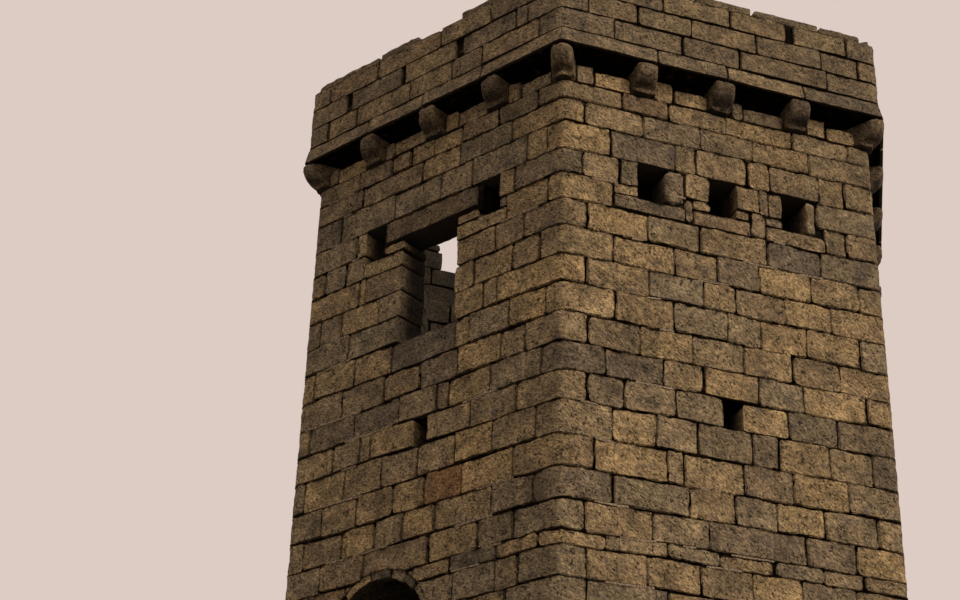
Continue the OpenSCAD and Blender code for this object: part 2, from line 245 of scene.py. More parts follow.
def ashlar_tree():
    tree = bpy.data.node_groups.new("weathered ashlar", "GeometryNodeTree")
    tree.interface.new_socket("Geometry", in_out="OUTPUT", socket_type="NodeSocketGeometry")
    sizes = [("Geometry", "Geometry"), ("Blank", "Object"), ("Apothem", "Float"), ("Facing", "Float"),
             ("Turn", "Float"), ("Relief", "Float"), ("Joint wave", "Float"), ("Chip", "Float"),
             ("Batter", "Float"), ("Nose radius", "Float"), ("Point slope", "Float"),
             ("Arch centre", "Vector"), ("Arch radius", "Float"), ("Material", "Material"),
             ("Seed", "Float")]
    for name, kind in sizes:
        tree.interface.new_socket(name, in_out="INPUT", socket_type="NodeSocket" + kind)
    given = add_node(tree, "NodeGroupInput").outputs
    blank = add_node(tree, "GeometryNodeObjectInfo", {"Object": given["Blank"]})
    placed = add_node(tree, "GeometryNodeInstanceOnPoints",
                      {"Points": given["Geometry"], "Instance": blank.outputs["Geometry"]})
    # The instances are made real first and not last, because every stone is shaped by itself
    stones = add_node(tree, "GeometryNodeRealizeInstances", [placed])
    read = {}
    for name in ("share", "rim", "low", "span", "soft"):
        read[name] = add_node(tree, "GeometryNodeInputNamedAttribute", {"Name": name},
                              data_type="FLOAT_VECTOR")
    for name in ("seed", "arris", "column", "tilt", "round"):
        read[name] = add_node(tree, "GeometryNodeInputNamedAttribute", {"Name": name}, data_type="FLOAT")

    # A column of the blank is drawn to the corner of the keep on stones that turn it
    share = add_node(tree, "ShaderNodeSeparateXYZ", [read["share"]])
    rise = add_node(tree, "ShaderNodeMath", [share, read["column"]], operation="DIVIDE")
    rest = add_node(tree, "ShaderNodeMath", [1.0, share], operation="SUBTRACT")
    room = add_node(tree, "ShaderNodeMath", [1.0, read["column"]], operation="SUBTRACT")
    fall = add_node(tree, "ShaderNodeMath", [rest, room], operation="DIVIDE")
    tent = add_node(tree, "ShaderNodeMath", [rise, fall], operation="MINIMUM")
    shift = add_node(tree, "ShaderNodeMath", [read["arris"], read["column"]], operation="SUBTRACT")
    drawn = add_node(tree, "ShaderNodeMath", [tent, shift, share], operation="MULTIPLY_ADD")
    part = add_node(tree, "ShaderNodeCombineXYZ", [drawn, share.outputs[1], share.outputs[2]])

    # Box of the stone with rounded edges
    outward = add_node(tree, "ShaderNodeVectorMath", [read["rim"]], operation="NORMALIZE")
    boxed = add_node(tree, "ShaderNodeVectorMath", [part, read["span"], read["low"]],
                     operation="MULTIPLY_ADD")
    edged = add_node(tree, "ShaderNodeVectorMath", [outward, read["soft"], boxed],
                     operation="MULTIPLY_ADD")

    # Its four corners in the wall face are worn round
    centre = add_node(tree, "ShaderNodeVectorMath", [read["span"], (0.5, 0.5, 0.5), read["low"]],
                      operation="MULTIPLY_ADD")
    half_size = add_node(tree, "ShaderNodeVectorMath", [read["span"], (0.5, 0.5, 0.5), read["soft"]],
                         operation="MULTIPLY_ADD")
    local = add_node(tree, "ShaderNodeVectorMath", [edged, centre], operation="SUBTRACT")
    reached = add_node(tree, "ShaderNodeVectorMath", [local], operation="ABSOLUTE")
    straight = add_node(tree, "ShaderNodeVectorMath", [half_size, read["round"]], operation="SUBTRACT")
    past_all = add_node(tree, "ShaderNodeVectorMath", [reached, straight], operation="SUBTRACT")
    past_some = add_node(tree, "ShaderNodeVectorMath", [past_all, (0.0, 0.0, 0.0)], operation="MAXIMUM")
    past_end = add_node(tree, "ShaderNodeVectorMath", [past_some, (1.0, 0.0, 1.0)], operation="MULTIPLY")
    past_length = add_node(tree, "ShaderNodeVectorMath", [past_end], operation="LENGTH")
    kept = add_node(tree, "ShaderNodeMath", [read["round"], past_length.outputs["Value"]],
                    operation="DIVIDE")
    lost = add_node(tree, "ShaderNodeMath", [1.0, kept], operation="SUBTRACT", use_clamp=True)
    pulled = add_node(tree, "ShaderNodeVectorMath", {0: past_end, "Scale": lost}, operation="SCALE")
    sense = add_node(tree, "ShaderNodeVectorMath", [local], operation="SIGN")
    pull = add_node(tree, "ShaderNodeVectorMath", [sense, pulled], operation="MULTIPLY")
    rounded = add_node(tree, "ShaderNodeVectorMath", [edged, pull], operation="SUBTRACT")

    # Hewn relief in two sizes, about 130 mm and 35 mm, and chips along the edges
    own = add_node(tree, "ShaderNodeMath", [read["seed"], 40.0, given["Seed"]],
                   operation="MULTIPLY_ADD")
    noise = {}
    for name, scale, detail in (("broad", 8.0, 1.0), ("small", 28.0, 2.0), ("worn", 11.0, 2.0)):
        noise[name] = add_node(tree, "ShaderNodeTexNoise",
                               {"Vector": rounded, "W": own, "Scale": scale, "Detail": detail},
                               noise_dimensions="4D")
    both = add_node(tree, "ShaderNodeMath", [noise["small"], 0.6, noise["broad"]],
                    operation="MULTIPLY_ADD")
    under = add_node(tree, "ShaderNodeMath", [both, 1.15], operation="SUBTRACT")
    relief = add_node(tree, "ShaderNodeMath", [under, given["Relief"]], operation="MULTIPLY")
    bites = add_node(tree, "ShaderNodeMapRange", [noise["worn"], 0.5, 0.72, 0.0, 1.0])
    reach = add_node(tree, "ShaderNodeVectorMath", [read["rim"]], operation="LENGTH")
    edge = add_node(tree, "ShaderNodeMath", [reach.outputs["Value"], 1.0], operation="SUBTRACT")
    chip = add_node(tree, "ShaderNodeMath", [edge, given["Chip"]], operation="MULTIPLY", use_clamp=True)
    chips = add_node(tree, "ShaderNodeMath", [chip, bites], operation="MULTIPLY")
    height = add_node(tree, "ShaderNodeMath", [relief, chips], operation="SUBTRACT")
    carved = add_node(tree, "ShaderNodeVectorMath", {0: outward, "Scale": height}, operation="SCALE")
    # The joint faces are dressed truer than the outer face, so that the stones fit closely
    fitted = add_node(tree, "ShaderNodeVectorMath", [carved, (0.6, 1.0, 0.6)], operation="MULTIPLY")
    hewn = add_node(tree, "ShaderNodeVectorMath", [rounded, fitted], operation="ADD")

    # Joints waver together on both sides, but not over the last 250 mm before a corner of the keep
    along = add_node(tree, "ShaderNodeSeparateXYZ", [hewn])
    side = add_node(tree, "ShaderNodeMath", [given["Apothem"], 2 * mitre_slope], operation="MULTIPLY")
    turns = add_node(tree, "ShaderNodeMath", [along, side], operation="DIVIDE")
    angle = add_node(tree, "ShaderNodeMath", [turns, math.pi / 3], operation="MULTIPLY")
    east = add_node(tree, "ShaderNodeMath", [angle], operation="COSINE")
    north = add_node(tree, "ShaderNodeMath", [angle], operation="SINE")
    round_way = add_node(tree, "ShaderNodeCombineXYZ", [east, north, 0.0])
    ring = add_node(tree, "ShaderNodeVectorMath", {0: round_way, "Scale": given["Apothem"]},
                    operation="SCALE")
    lifted = add_node(tree, "ShaderNodeCombineXYZ", [0.0, 0.0, along.outputs[2]])
    place = add_node(tree, "ShaderNodeVectorMath", [ring, lifted], operation="ADD")
    sway = add_node(tree, "ShaderNodeTexNoise", {"Vector": place, "Scale": 2.6, "Detail": 2.0})
    swing = add_node(tree, "ShaderNodeVectorMath", [sway.outputs["Color"], (0.5, 0.5, 0.5)],
                     operation="SUBTRACT")
    half_side = add_node(tree, "ShaderNodeMath", [side, 0.5], operation="MULTIPLY")
    to_corner = add_node(tree, "ShaderNodeMath", [along, half_side], operation="PINGPONG")
    free = add_node(tree, "ShaderNodeMath", [to_corner, 4.0], operation="MULTIPLY", use_clamp=True)
    ways = add_node(tree, "ShaderNodeCombineXYZ", [free, 0.0, 1.0])
    held = add_node(tree, "ShaderNodeVectorMath", [swing, ways], operation="MULTIPLY")
    waved = add_node(tree, "ShaderNodeVectorMath", {0: held, "Scale": given["Joint wave"]},
                     operation="SCALE")
    swayed = add_node(tree, "ShaderNodeVectorMath", [hewn, waved], operation="ADD")
    moved = add_node(tree, "ShaderNodeSeparateXYZ", [swayed])

    # Settling, the sloped foot of a parapet, the rounded underside of a corbel
    from_middle = add_node(tree, "ShaderNodeMath", [drawn, 0.5], operation="SUBTRACT")
    settled = add_node(tree, "ShaderNodeMath", [from_middle, read["tilt"], moved.outputs[2]],
                       operation="MULTIPLY_ADD")
    first = add_node(tree, "ShaderNodeSeparateXYZ", [read["low"]])
    above = add_node(tree, "ShaderNodeMath", [settled, first.outputs[2]], operation="SUBTRACT")
    ahead = add_node(tree, "ShaderNodeMath", [1.0, share.outputs[1]], operation="SUBTRACT")
    slope = add_node(tree, "ShaderNodeMath", [share.outputs[2], given["Batter"]], operation="MULTIPLY")
    leaned = add_node(tree, "ShaderNodeMath", [slope, ahead, moved.outputs[1]], operation="MULTIPLY_ADD")
    raised = add_node(tree, "ShaderNodeMath", [above, given["Nose radius"]], operation="DIVIDE")
    short = add_node(tree, "ShaderNodeMath", [1.0, raised], operation="SUBTRACT")
    missing = add_node(tree, "ShaderNodeClamp", [short, 0.0, 0.97])
    square = add_node(tree, "ShaderNodeMath", [missing, missing], operation="MULTIPLY")
    left_over = add_node(tree, "ShaderNodeMath", [1.0, square], operation="SUBTRACT")
    nose = add_node(tree, "ShaderNodeMath", [left_over], operation="SQRT")
    proud = add_node(tree, "ShaderNodeMath", [leaned, 0.0], operation="MINIMUM")
    sunk = add_node(tree, "ShaderNodeMath", [leaned, 0.0], operation="MAXIMUM")
    depth = add_node(tree, "ShaderNodeMath", [proud, nose, sunk], operation="MULTIPLY_ADD")

    # Stones over the doorway end on the back of its arch ring
    flat = add_node(tree, "ShaderNodeCombineXYZ", [moved, 0.0, settled])
    from_arch = add_node(tree, "ShaderNodeVectorMath", [flat, given["Arch centre"]],
                         operation="SUBTRACT")
    over = add_node(tree, "ShaderNodeVectorMath", [from_arch, (-9.0, 0.0, 0.0)], operation="MAXIMUM")
    far = add_node(tree, "ShaderNodeVectorMath", [over], operation="LENGTH")
    push = add_node(tree, "ShaderNodeMath", [given["Arch radius"], far.outputs["Value"]],
                    operation="DIVIDE")
    swell = add_node(tree, "ShaderNodeMath", [push, 1.0], operation="MAXIMUM")
    rise_over = add_node(tree, "ShaderNodeSeparateXYZ", [from_arch])
    higher = add_node(tree, "ShaderNodeMath", [rise_over.outputs[2], 0.0], operation="GREATER_THAN")
    growth = add_node(tree, "ShaderNodeMix", {"Factor": higher, "A": 1.0, "B": swell})
    spread = add_node(tree, "ShaderNodeVectorMath", {0: from_arch, "Scale": growth}, operation="SCALE")
    clear = add_node(tree, "ShaderNodeVectorMath", [spread, given["Arch centre"]], operation="ADD")
    final = add_node(tree, "ShaderNodeSeparateXYZ", [clear])

    # Bent round the six corners; the arris itself is worn round, over 90 mm and by up to 14 mm
    sharp = add_node(tree, "ShaderNodeMapRange", [to_corner, 0.0, 0.09, 1.0, 0.0])
    rounder = add_node(tree, "ShaderNodeMath", [sharp, 2.0], operation="POWER")
    outer = add_node(tree, "ShaderNodeMath", [rounder, 0.014, depth], operation="MULTIPLY_ADD")
    number = add_node(tree, "ShaderNodeMath", [final, side], operation="DIVIDE")
    which = add_node(tree, "ShaderNodeMath", [number], operation="FLOOR")
    within = add_node(tree, "ShaderNodeMath", [number, which], operation="SUBTRACT")
    centred = add_node(tree, "ShaderNodeMath", [within, 0.5], operation="SUBTRACT")
    x = add_node(tree, "ShaderNodeMath", [centred, side], operation="MULTIPLY")
    off_middle = add_node(tree, "ShaderNodeMath", [x], operation="ABSOLUTE")
    pointed = add_node(tree, "ShaderNodeMath", [ahead, given["Point slope"]], operation="MULTIPLY")
    dressed_back = add_node(tree, "ShaderNodeMath", [off_middle, pointed, outer],
                            operation="MULTIPLY_ADD")
    out = add_node(tree, "ShaderNodeMath", [dressed_back, given["Facing"], given["Apothem"]],
                   operation="MULTIPLY_ADD")
    mitre = add_node(tree, "ShaderNodeMath", [out, mitre_slope], operation="MULTIPLY")
    other_mitre = add_node(tree, "ShaderNodeMath", [mitre, -1.0], operation="MULTIPLY")
    x_in = add_node(tree, "ShaderNodeClamp", [x, other_mitre, mitre])
    y = add_node(tree, "ShaderNodeMath", [out, -1.0], operation="MULTIPLY")
    on_front = add_node(tree, "ShaderNodeCombineXYZ", [x_in, y, final.outputs[2]])
    turned = add_node(tree, "ShaderNodeMath", [which, math.pi / 3, given["Turn"]],
                      operation="MULTIPLY_ADD")
    on_side = add_node(tree, "ShaderNodeVectorRotate", {"Vector": on_front, "Angle": turned},
                       rotation_type="Z_AXIS")
    shaped = add_node(tree, "GeometryNodeSetPosition", {"Geometry": stones, "Position": on_side})
    inverted = add_node(tree, "ShaderNodeMath", [given["Facing"], 0.0], operation="GREATER_THAN")
    flipped = add_node(tree, "GeometryNodeFlipFaces", {"Mesh": shaped, "Selection": inverted})
    smooth = add_node(tree, "GeometryNodeSetShadeSmooth", {"Geometry": flipped})
    finished = add_node(tree, "GeometryNodeSetMaterial",
                        {"Geometry": smooth, "Material": given["Material"]})
    add_node(tree, "NodeGroupOutput", {"Geometry": finished})
    return tree


ashlar = ashlar_tree()
rng = random.Random(1204)


def stone(u0, u1, z0, z1, depth=face_depth, near=0.0, corner=None, tone=None, soft=0.008,
          joint=0.006, worn=None):
    """A stone's place in a wall, and its own wear, shade and tilt.

    The walls are taken as rolled out flat: u runs along all sides from the near corner, anticlockwise
    as seen from above, z runs up, and near and depth go into the wall.
    """
    gaps = [joint * rng.choice((0.0, 0.1, 0.5, 1.3, 2.8)) for _ in range(4)]
    worn = rng.choice((0.012, 0.02, 0.035, 0.06)) if worn is None else worn
    return {"u": (u0 + gaps[0], u1 - gaps[1]), "z": (z0 + gaps[2], z1 - gaps[3]),
            "d": (near, near + depth), "corner": corner,
            "tone": rng.uniform(0, 0.92) if tone is None else tone, "soft": soft, "round": worn,
            "tilt": rng.uniform(-0.014, 0.014), "seed": rng.random()}


def read_vectors(rows, key):
    values = np.zeros(3 * len(rows), np.float32)
    rows.foreach_get(key, values)
    return values.reshape(-1, 3)


def mark_painted_shade(mesh):
    """Marks painted shade: on faces behind the outer wall face, on undersides, and growing towards the
    corbels under the parapet.
    """
    eaves_h = 1.4
    places = read_vectors(mesh.vertices, "co")
    normals = read_vectors(mesh.vertex_normals, "vector")
    turns = np.radians(60 * np.arange(6) - 90)
    reach = (places[:, 0:1] * np.cos(turns) + places[:, 1:2] * np.sin(turns)).max(axis=1)
    to_sky = np.clip(3 * normals[:, 2] - 1.6, 0, 1) * (places[:, 2] > upper_ledge_z + 0.3)
    # Painted shade on the faces inside the keep and on undersides, and a band of it that deepens up to
    # the corbels
    behind = np.clip((apothem - 0.03 - reach) / 0.15, 0, 1) * (1 - to_sky)
    under = np.clip(-1.4 * normals[:, 2] - 0.35, 0, 1)
    below_eaves = np.clip((places[:, 2] - corbel_foot_z + eaves_h) / eaves_h, 0, 1)
    eaves = below_eaves * (places[:, 2] < parapet_z)
    sheltered = np.maximum(np.maximum(behind, under), 0.22 * eaves).astype(np.float32)
    mesh.attributes.new("sheltered", "FLOAT", "POINT").data.foreach_set("value", sheltered)


def lay_stones(name, stones, blank, material, slot, apothem_out, facing=-1.0, turn=0.0, relief=0.034,
               wave=0.045, chip=0.14, batter=0.0, nose=0.001, point=0.0, arch_centre=(0, 0, -50),
               arch_radius=0.0, rides=True):
    """Sets a blank at every stone and turns the result of the tree into one plain piece.

    A facing of -1 lays them in an outer wall face, and 1 in the wall face of a room.
    """
    points = bpy.data.meshes.new(name + "_points")
    points.from_pydata([(0, 0, 0)] * len(stones), [], [])
    columns = blank["columns"]
    vectors = ("low", "span", "soft")
    values = {key: [] for key in vectors + ("seed", "arris", "column", "tilt", "tone", "round")}
    for block in stones:
        lo = np.array([block["u"][0], block["d"][0], block["z"][0]])
        hi = np.array([block["u"][1], block["d"][1], block["z"][1]])
        soft = np.minimum(block["soft"], 0.45 * (hi - lo))
        values["low"].append(lo + soft)
        values["span"].append(hi - lo - 2 * soft)
        values["soft"].append(soft)
        share = 0.5
        column = 0.5
        if block["corner"] is not None:
            share = (block["corner"] - lo[0] - soft[0]) / (hi[0] - lo[0] - 2 * soft[0])
            column = min(max(round(share * columns), 1), columns - 1) / columns
        values["arris"].append(share)
        values["column"].append(column)
        for key in ("seed", "tilt", "tone", "round"):
            values[key].append(block[key])
    for key, numbers in values.items():
        kind, field = ("FLOAT_VECTOR", "vector") if key in vectors else ("FLOAT", "value")
        attribute = points.attributes.new(key, kind, "POINT")
        attribute.data.foreach_set(field, np.array(numbers, np.float32).ravel())
    laid = place_object(name + "_points", points)
    modifier = laid.modifiers.new("ashlar", "NODES")
    modifier.node_group = ashlar
    settings = {"Blank": blank, "Apothem": apothem_out, "Facing": facing, "Turn": turn, "Relief": relief,
                "Joint wave": wave, "Chip": chip, "Batter": batter, "Nose radius": nose,
                "Point slope": point, "Arch centre": arch_centre, "Arch radius": arch_radius,
                "Material": material, "Seed": 3.0}
    for item in ashlar.interface.items_tree:
        if item.in_out == "INPUT" and item.name in settings:
            modifier[item.identifier] = settings[item.name]
    graph = bpy.context.evaluated_depsgraph_get()
    mesh = bpy.data.meshes.new_from_object(laid.evaluated_get(graph), preserve_all_data_layers=True,
                                           depsgraph=graph)
    mesh.name = name
    # Nothing stands below the ground or above the top of the solids
    skin = 0.002
    places = read_vectors(mesh.vertices, "co")
    places[:, 2] = np.clip(places[:, 2], skin, top_z - skin)
    mesh.vertices.foreach_set("co", places.ravel())
    mark_painted_shade(mesh)
    for key in ("share", "rim", "low", "span", "soft", "arris", "column", "tilt", "round"):
        if key in mesh.attributes:
            mesh.attributes.remove(mesh.attributes[key])
    bpy.data.objects.remove(laid)
    piece = place_object(name, mesh)
    if rides:
        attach(piece, "root")
    return piece


def sandstone(name, shades, lichen, lichen_amount):
    # Weathered sandstone, split and dressed with a pick: matt and brown, each stone in its own shade,
    # pitted and stained by lichen and soot, with painted highlights on its humps and tool marks and
    # painted shade in its pits, between its humps, on undersides, behind the wall face and under the
    # parapet
    material, tree, shader = start_material(name, 0.92)
    place = add_node(tree, "ShaderNodeTexCoord").outputs["Object"]
    tone = add_node(tree, "ShaderNodeAttribute", attribute_name="tone")
    # Every stone has its own shade
    shade = add_node(tree, "ShaderNodeValToRGB", [tone.outputs["Fac"]])
    set_ramp(shade, shades)
    # Clouds of about 300 mm, lighter and darker
    clouds = add_node(tree, "ShaderNodeTexNoise",
                      {"Vector": place, "Scale": 3.8, "Detail": 7, "Roughness": 0.62})
    light = add_node(tree, "ShaderNodeMapRange", [clouds, 0.3, 0.7, 0.48, 1.46])
    clouded = add_node(tree, "ShaderNodeVectorMath", {0: shade, "Scale": light}, operation="SCALE")
    # Crusts of lichen and soot of about 120 mm
    crust = add_node(tree, "ShaderNodeTexNoise",
                     {"Vector": place, "Scale": 6.5, "Detail": 9, "Roughness": 0.74})
    grown = add_node(tree, "ShaderNodeMapRange", [crust, 0.55, 0.64, 0.0, lichen_amount])
    crusted = add_node(tree, "ShaderNodeMix", {"Factor": grown, 6: clouded, 7: linear(lichen)},
                       data_type="RGBA")
    # Hewn lumps of 70 mm, with painted highlight on top and painted shade between them
    lumps = add_node(tree, "ShaderNodeTexNoise",
                     {"Vector": place, "Scale": 13, "Detail": 5, "Roughness": 0.6})
    painted_light_on_humps = add_node(tree, "ShaderNodeMapRange", [lumps, 0.36, 0.64, 0.8, 1.24])
    lumped = add_node(tree, "ShaderNodeVectorMath", {0: crusted.outputs[2], "Scale": painted_light_on_humps},
                      operation="SCALE")
    # Tool marks 30 mm long that slant across the faces, with painted highlight on the ridges and painted
    # shade between them
    slanted = add_node(tree, "ShaderNodeMapping", {"Vector": place, "Rotation": (0.0, 0.6, 0.0),
                                                   "Scale": (1.7, 1.7, 0.7)}, vector_type="TEXTURE")
    marks = add_node(tree, "ShaderNodeTexNoise",
                     {"Vector": slanted, "Scale": 46, "Detail": 3, "Roughness": 0.6})
    painted_light_on_ridges = add_node(tree, "ShaderNodeMapRange", [marks, 0.34, 0.66, 0.4, 1.66])
    tooled = add_node(tree, "ShaderNodeVectorMath", {0: lumped, "Scale": painted_light_on_ridges}, operation="SCALE")
    # Grains of 8 mm, coarser than the real sand so that they show
    grains = add_node(tree, "ShaderNodeTexNoise",
                      {"Vector": place, "Scale": 120, "Detail": 2, "Roughness": 0.5})
    speckle = add_node(tree, "ShaderNodeMapRange", [grains, 0.34, 0.66, 0.7, 1.32])
    grained = add_node(tree, "ShaderNodeVectorMath", {0: tooled, "Scale": speckle}, operation="SCALE")
    # Pits of 20 mm, in some places only, with painted shade inside
    pits = add_node(tree, "ShaderNodeTexNoise",
                    {"Vector": place, "Scale": 40, "Detail": 2, "Roughness": 0.5})
    where = add_node(tree, "ShaderNodeMath", [lumps, 0.5, pits], operation="MULTIPLY_ADD")
    hollow = add_node(tree, "ShaderNodeMapRange", [where, 0.575, 0.635, 0.2, 1.0])
    pitted = add_node(tree, "ShaderNodeVectorMath", {0: grained, "Scale": hollow}, operation="SCALE")
    # Painted shade behind the outer wall face, on undersides and under the parapet darkens the colour
    sheltered = add_node(tree, "ShaderNodeAttribute", attribute_name="sheltered")
    dark = add_node(tree, "ShaderNodeMapRange", [sheltered.outputs["Fac"], 0.0, 1.0, 1.0, 0.15])
    with_painted_shade = add_node(tree, "ShaderNodeVectorMath", {0: pitted, "Scale": dark}, operation="SCALE")
    # Pits, tool marks and lumps together, up to 12 mm deep
    ground = add_node(tree, "ShaderNodeMath", [marks, 0.8, hollow], operation="MULTIPLY_ADD")
    surface = add_node(tree, "ShaderNodeMath", [lumps, 3.0, ground], operation="MULTIPLY_ADD")
    bump = add_node(tree, "ShaderNodeBump", {"Height": surface, "Strength": 1.0, "Distance": 0.012})
    tree.links.new(with_painted_shade.outputs[0], shader.inputs["Base Color"])
    tree.links.new(bump.outputs[0], shader.inputs["Normal"])
    return material


wall_stone = sandstone("weathered brown sandstone", [
    (0.00, "635340"), (0.14, "8b704c"), (0.30, "77644a"), (0.46, "9a7c53"), (0.62, "7a674d"),
    (0.78, "91754f"), (0.90, "6f5c45"), (0.95, "7e5c3a"), (0.97, "6f4c33"), (1.00, "594a3b")],
    "463c37", 0.75)


# Outer face of the walls: courses of squared stone about 330 mm high, bedded level in lime mortar
# round all six sides, with long and short arms in turn at the corners. The joints of the front and
# the front left side are where the real ones are; the unseen sides go on in the same way.
side_names = ["front", "front_right", "back_right", "back", "back_left", "front_left"]
front, front_right, back_right, back, back_left, front_left = range(6)
base_lo, base_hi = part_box("front_base_wall")
side_l = base_hi.x - base_lo.x
entrance_ledge_z = base_hi.z
threshold_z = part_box("front_left_base_wall")[1].z
springing_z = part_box("doorway_left_wall")[1].z
socket_foot_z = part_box("front_upper_wall")[1].z
socket_top_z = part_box("front_top_wall")[0].z
window_head_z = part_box("window_lintel")[0].z
sill_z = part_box("window_breast_wall")[1].z

# Beds of the upper courses, in metres below the foot of the corbels, read off the photograph; the
# courses below these are all alike
upper_courses = [0, 0.25, 0.54, 0.90, 1.22, 1.54, 1.875, 2.215, 2.55, 2.905, 3.245, 3.57, 3.90,
                 4.27, 4.62, 4.95, 5.27, 5.43, 5.75]
lower_course_h = 0.32
base_courses = 18
course_z = [corbel_foot_z - depth for depth in upper_courses]
while course_z[-1] > threshold_z + 0.01:
    course_z.append(course_z[-1] - lower_course_h)
course_z[-1] = threshold_z
course_z += [threshold_z * (1 - (k + 1) / base_courses) for k in range(base_courses)]
# Joints along each course, in metres from the near corner, read off the photograph
front_joints = [
    [0.72, 1.26, 1.97, 2.81, 3.51], [0.27, 0.96, 1.65, 2.29, 3.01],
    [0.57, 1.33, 1.59, 2.21, 2.48, 3.11, 3.43], [0.24, 0.67, 1.45, 2.34, 2.45, 3.04],
    [0.61, 1.44, 1.53, 2.22, 2.41, 3.14, 3.40], [0.30, 0.99, 1.61, 2.40, 3.06],
    [0.59, 1.30, 1.79, 2.30, 2.92, 3.51], [0.29, 1.00, 1.62, 1.99, 2.59, 3.14],
    [0.62, 1.27, 1.89, 2.28, 2.82, 3.48], [0.30, 0.89, 1.48, 2.07, 2.64, 3.20],
    [0.50, 1.13, 1.59, 2.23, 2.75, 3.50], [0.30, 0.71, 1.27, 2.56, 3.13],
    [0.57, 1.05, 1.50, 2.12, 2.42, 3.01, 3.51], [0.37, 1.17, 1.35, 2.00, 2.57, 3.21],
    [0.57, 1.40, 1.89, 2.36, 2.89, 3.50], [0.28, 1.00, 1.60, 2.67, 3.24],
    [0.49, 1.15, 1.70, 2.30, 2.85, 3.30], [0.30, 0.93, 1.50, 2.05, 2.60, 3.20]]
left_joints = [
    [0.35, 0.92, 1.48, 1.91, 2.27, 2.57, 3.11], [0.72, 1.49, 2.07, 3.02],
    [0.22, 0.50, 1.29, 1.77, 2.49, 3.36], [0.66, 0.80, 3.07],
    [0.20, 0.77, 2.92, 3.22, 3.56], [0.53, 0.92, 2.88, 2.98],
    [0.30, 0.67, 1.20, 2.63, 3.23, 3.56], [0.88, 1.07, 3.09],
    [0.21, 0.70, 1.26, 1.45, 2.38, 2.96, 3.59], [0.47, 0.81, 1.40, 1.94, 2.48, 3.11],
    [0.27, 0.94, 1.50, 1.67, 2.22, 2.90, 3.60], [0.57, 1.20, 2.63, 2.78, 3.19],
    [0.31, 0.88, 1.39, 1.91, 2.43, 2.99, 3.60], [0.60, 1.28, 1.80, 2.24, 2.78, 3.30],
    [0.33, 0.87, 1.63, 2.07, 2.47, 2.96, 3.54], [0.57, 1.03, 1.70, 2.62, 3.26],
    [0.27, 0.80, 1.40, 1.90, 2.85, 3.40], [0.50, 0.80, 1.35, 3.10]]
# Shades of single stones that stand out: (side, course, stone along the course)
own_tones = {(front_left, 13, 1): 0.95, (front_left, 16, 4): 0.93, (front_left, 8, 3): 0.0,
             (front_left, 9, 2): 0.02, (front_left, 9, 3): 0.1, (front, 4, 1): 0.05}

# Openings on each side: left and right end, foot and head, and depth of the stones round them
socket_d = 0.40
socket_pitch = 0.865
socket_w = 0.30
slit_w = 0.19
slit_foot_z = upper_ledge_z - 0.29
door_x = -0.48
door_w = 1.30
door_d = 0.60
ring_depth = 0.11
ring_outer = door_w / 2 + ring_depth
window_w = 0.81
window_d = 0.40
lintel_w = 1.40
slit_d = 0.30
half = side_l / 2
sockets = [(half + k * socket_pitch - socket_w / 2, half + k * socket_pitch + socket_w / 2,
            socket_foot_z, socket_top_z, socket_d) for k in (-1, 0, 1)]
slit = (half - slit_w / 2, half + slit_w / 2, slit_foot_z, upper_ledge_z, slit_d)
openings = {side: sockets + [slit] for side in range(6)}
# The window's lintel is a piece of its own, so the stones round it are no deeper than the others
openings[front_left] = [
    sockets[0], sockets[2], slit,
    (half - window_w / 2, half + window_w / 2, sill_z, window_head_z, window_d),
    (half - lintel_w / 2, half + lintel_w / 2, window_head_z, socket_top_z, face_depth),
    (half + door_x - door_w / 2, half + door_x + door_w / 2, threshold_z, springing_z, door_d)]


def random_joints(start, end, above):
    """Joints of one course from start to end, kept off those of the course above where they can be."""
    # Stones are 0.42 to 0.86 m long, and a joint keeps 0.1 m off those above it, in twelve tries
    joints = [start]
    while end - joints[-1] > 0.95:
        for _ in range(12):
            joint = joints[-1] + rng.uniform(0.42, 0.86)
            if all(abs(joint - other) > 0.1 for other in above) and end - joint > 0.38:
                break
        joints.append(min(joint, end - 0.3))
    if end - joints[-1] > 0.86:
        joints.append((joints[-1] + end) / 2)
    return joints + [end]


# An opening cuts right through a stone when it takes up this share of the stone's height
through = 0.55
# Narrower offcuts are left out
least_offcut = 0.07
# A stone that ends this close to an opening is one of its jamb stones
beside = 0.03


def cut_stones(base, u0, u1, z0, z1, holes, tone=None):
    """One stone, less the openings of its side: parts beside an opening reach its full depth."""
    parts = [(u0, u1)]
    deep = face_depth
    notches = []
    for left, right, foot, head, reach in holes:
        overlap = min(z1, head) - max(z0, foot)
        if overlap < 0.02 or right < u0 + 0.01 or left > u1 - 0.01:
            touches = overlap > 0.02 and (abs(right - u0) < beside or abs(left - u1) < beside)
            in_line = right > u0 + 0.02 and left < u1 - 0.02
            under_or_over = in_line and (abs(z1 - foot) < 2 * beside or abs(z0 - head) < 2 * beside)
            if touches or under_or_over:
                deep = max(deep, reach)
            continue
        deep = max(deep, reach)
        if overlap < through * (z1 - z0) and foot > z0 + 0.05:
            notches.append((left, right, foot))
            continue
        cut = []
        for a, b in parts:
            if left - a > least_offcut:
                cut.append((a, min(b, left)))
            if b - right > least_offcut:
                cut.append((max(a, right), b))
            if right <= a or left >= b:
                cut.append((a, b))
        parts = sorted(set(cut))
    blocks = []
    for a, b in parts:
        cuts = sorted(notch for notch in notches if notch[0] < b and notch[1] > a)
        blocks.append(stone(base + a, base + b, z0, cuts[0][2] if cuts else z1, deep, tone=tone))
        if cuts:
            cuts.append((b, b, cuts[0][2]))
        start = a
        for left, right, foot in cuts:
            if left - start > 0.05:
                blocks.append(stone(base + start, base + left, foot, z1, deep, tone=tone))
            start = right
    return blocks


def draw_to_openings(joints, holes, z0, z1):
    """Moves each joint that lies close to the side of an opening onto it, so that no sliver is left."""
    sliver = 0.12
    for left, right, foot, head, _ in holes:
        if min(z1, head) - max(z0, foot) > through * (z1 - z0):
            joints = [left if abs(j - left) < sliver else right if abs(j - right) < sliver else j
                      for j in joints]
    return sorted(set(joints))


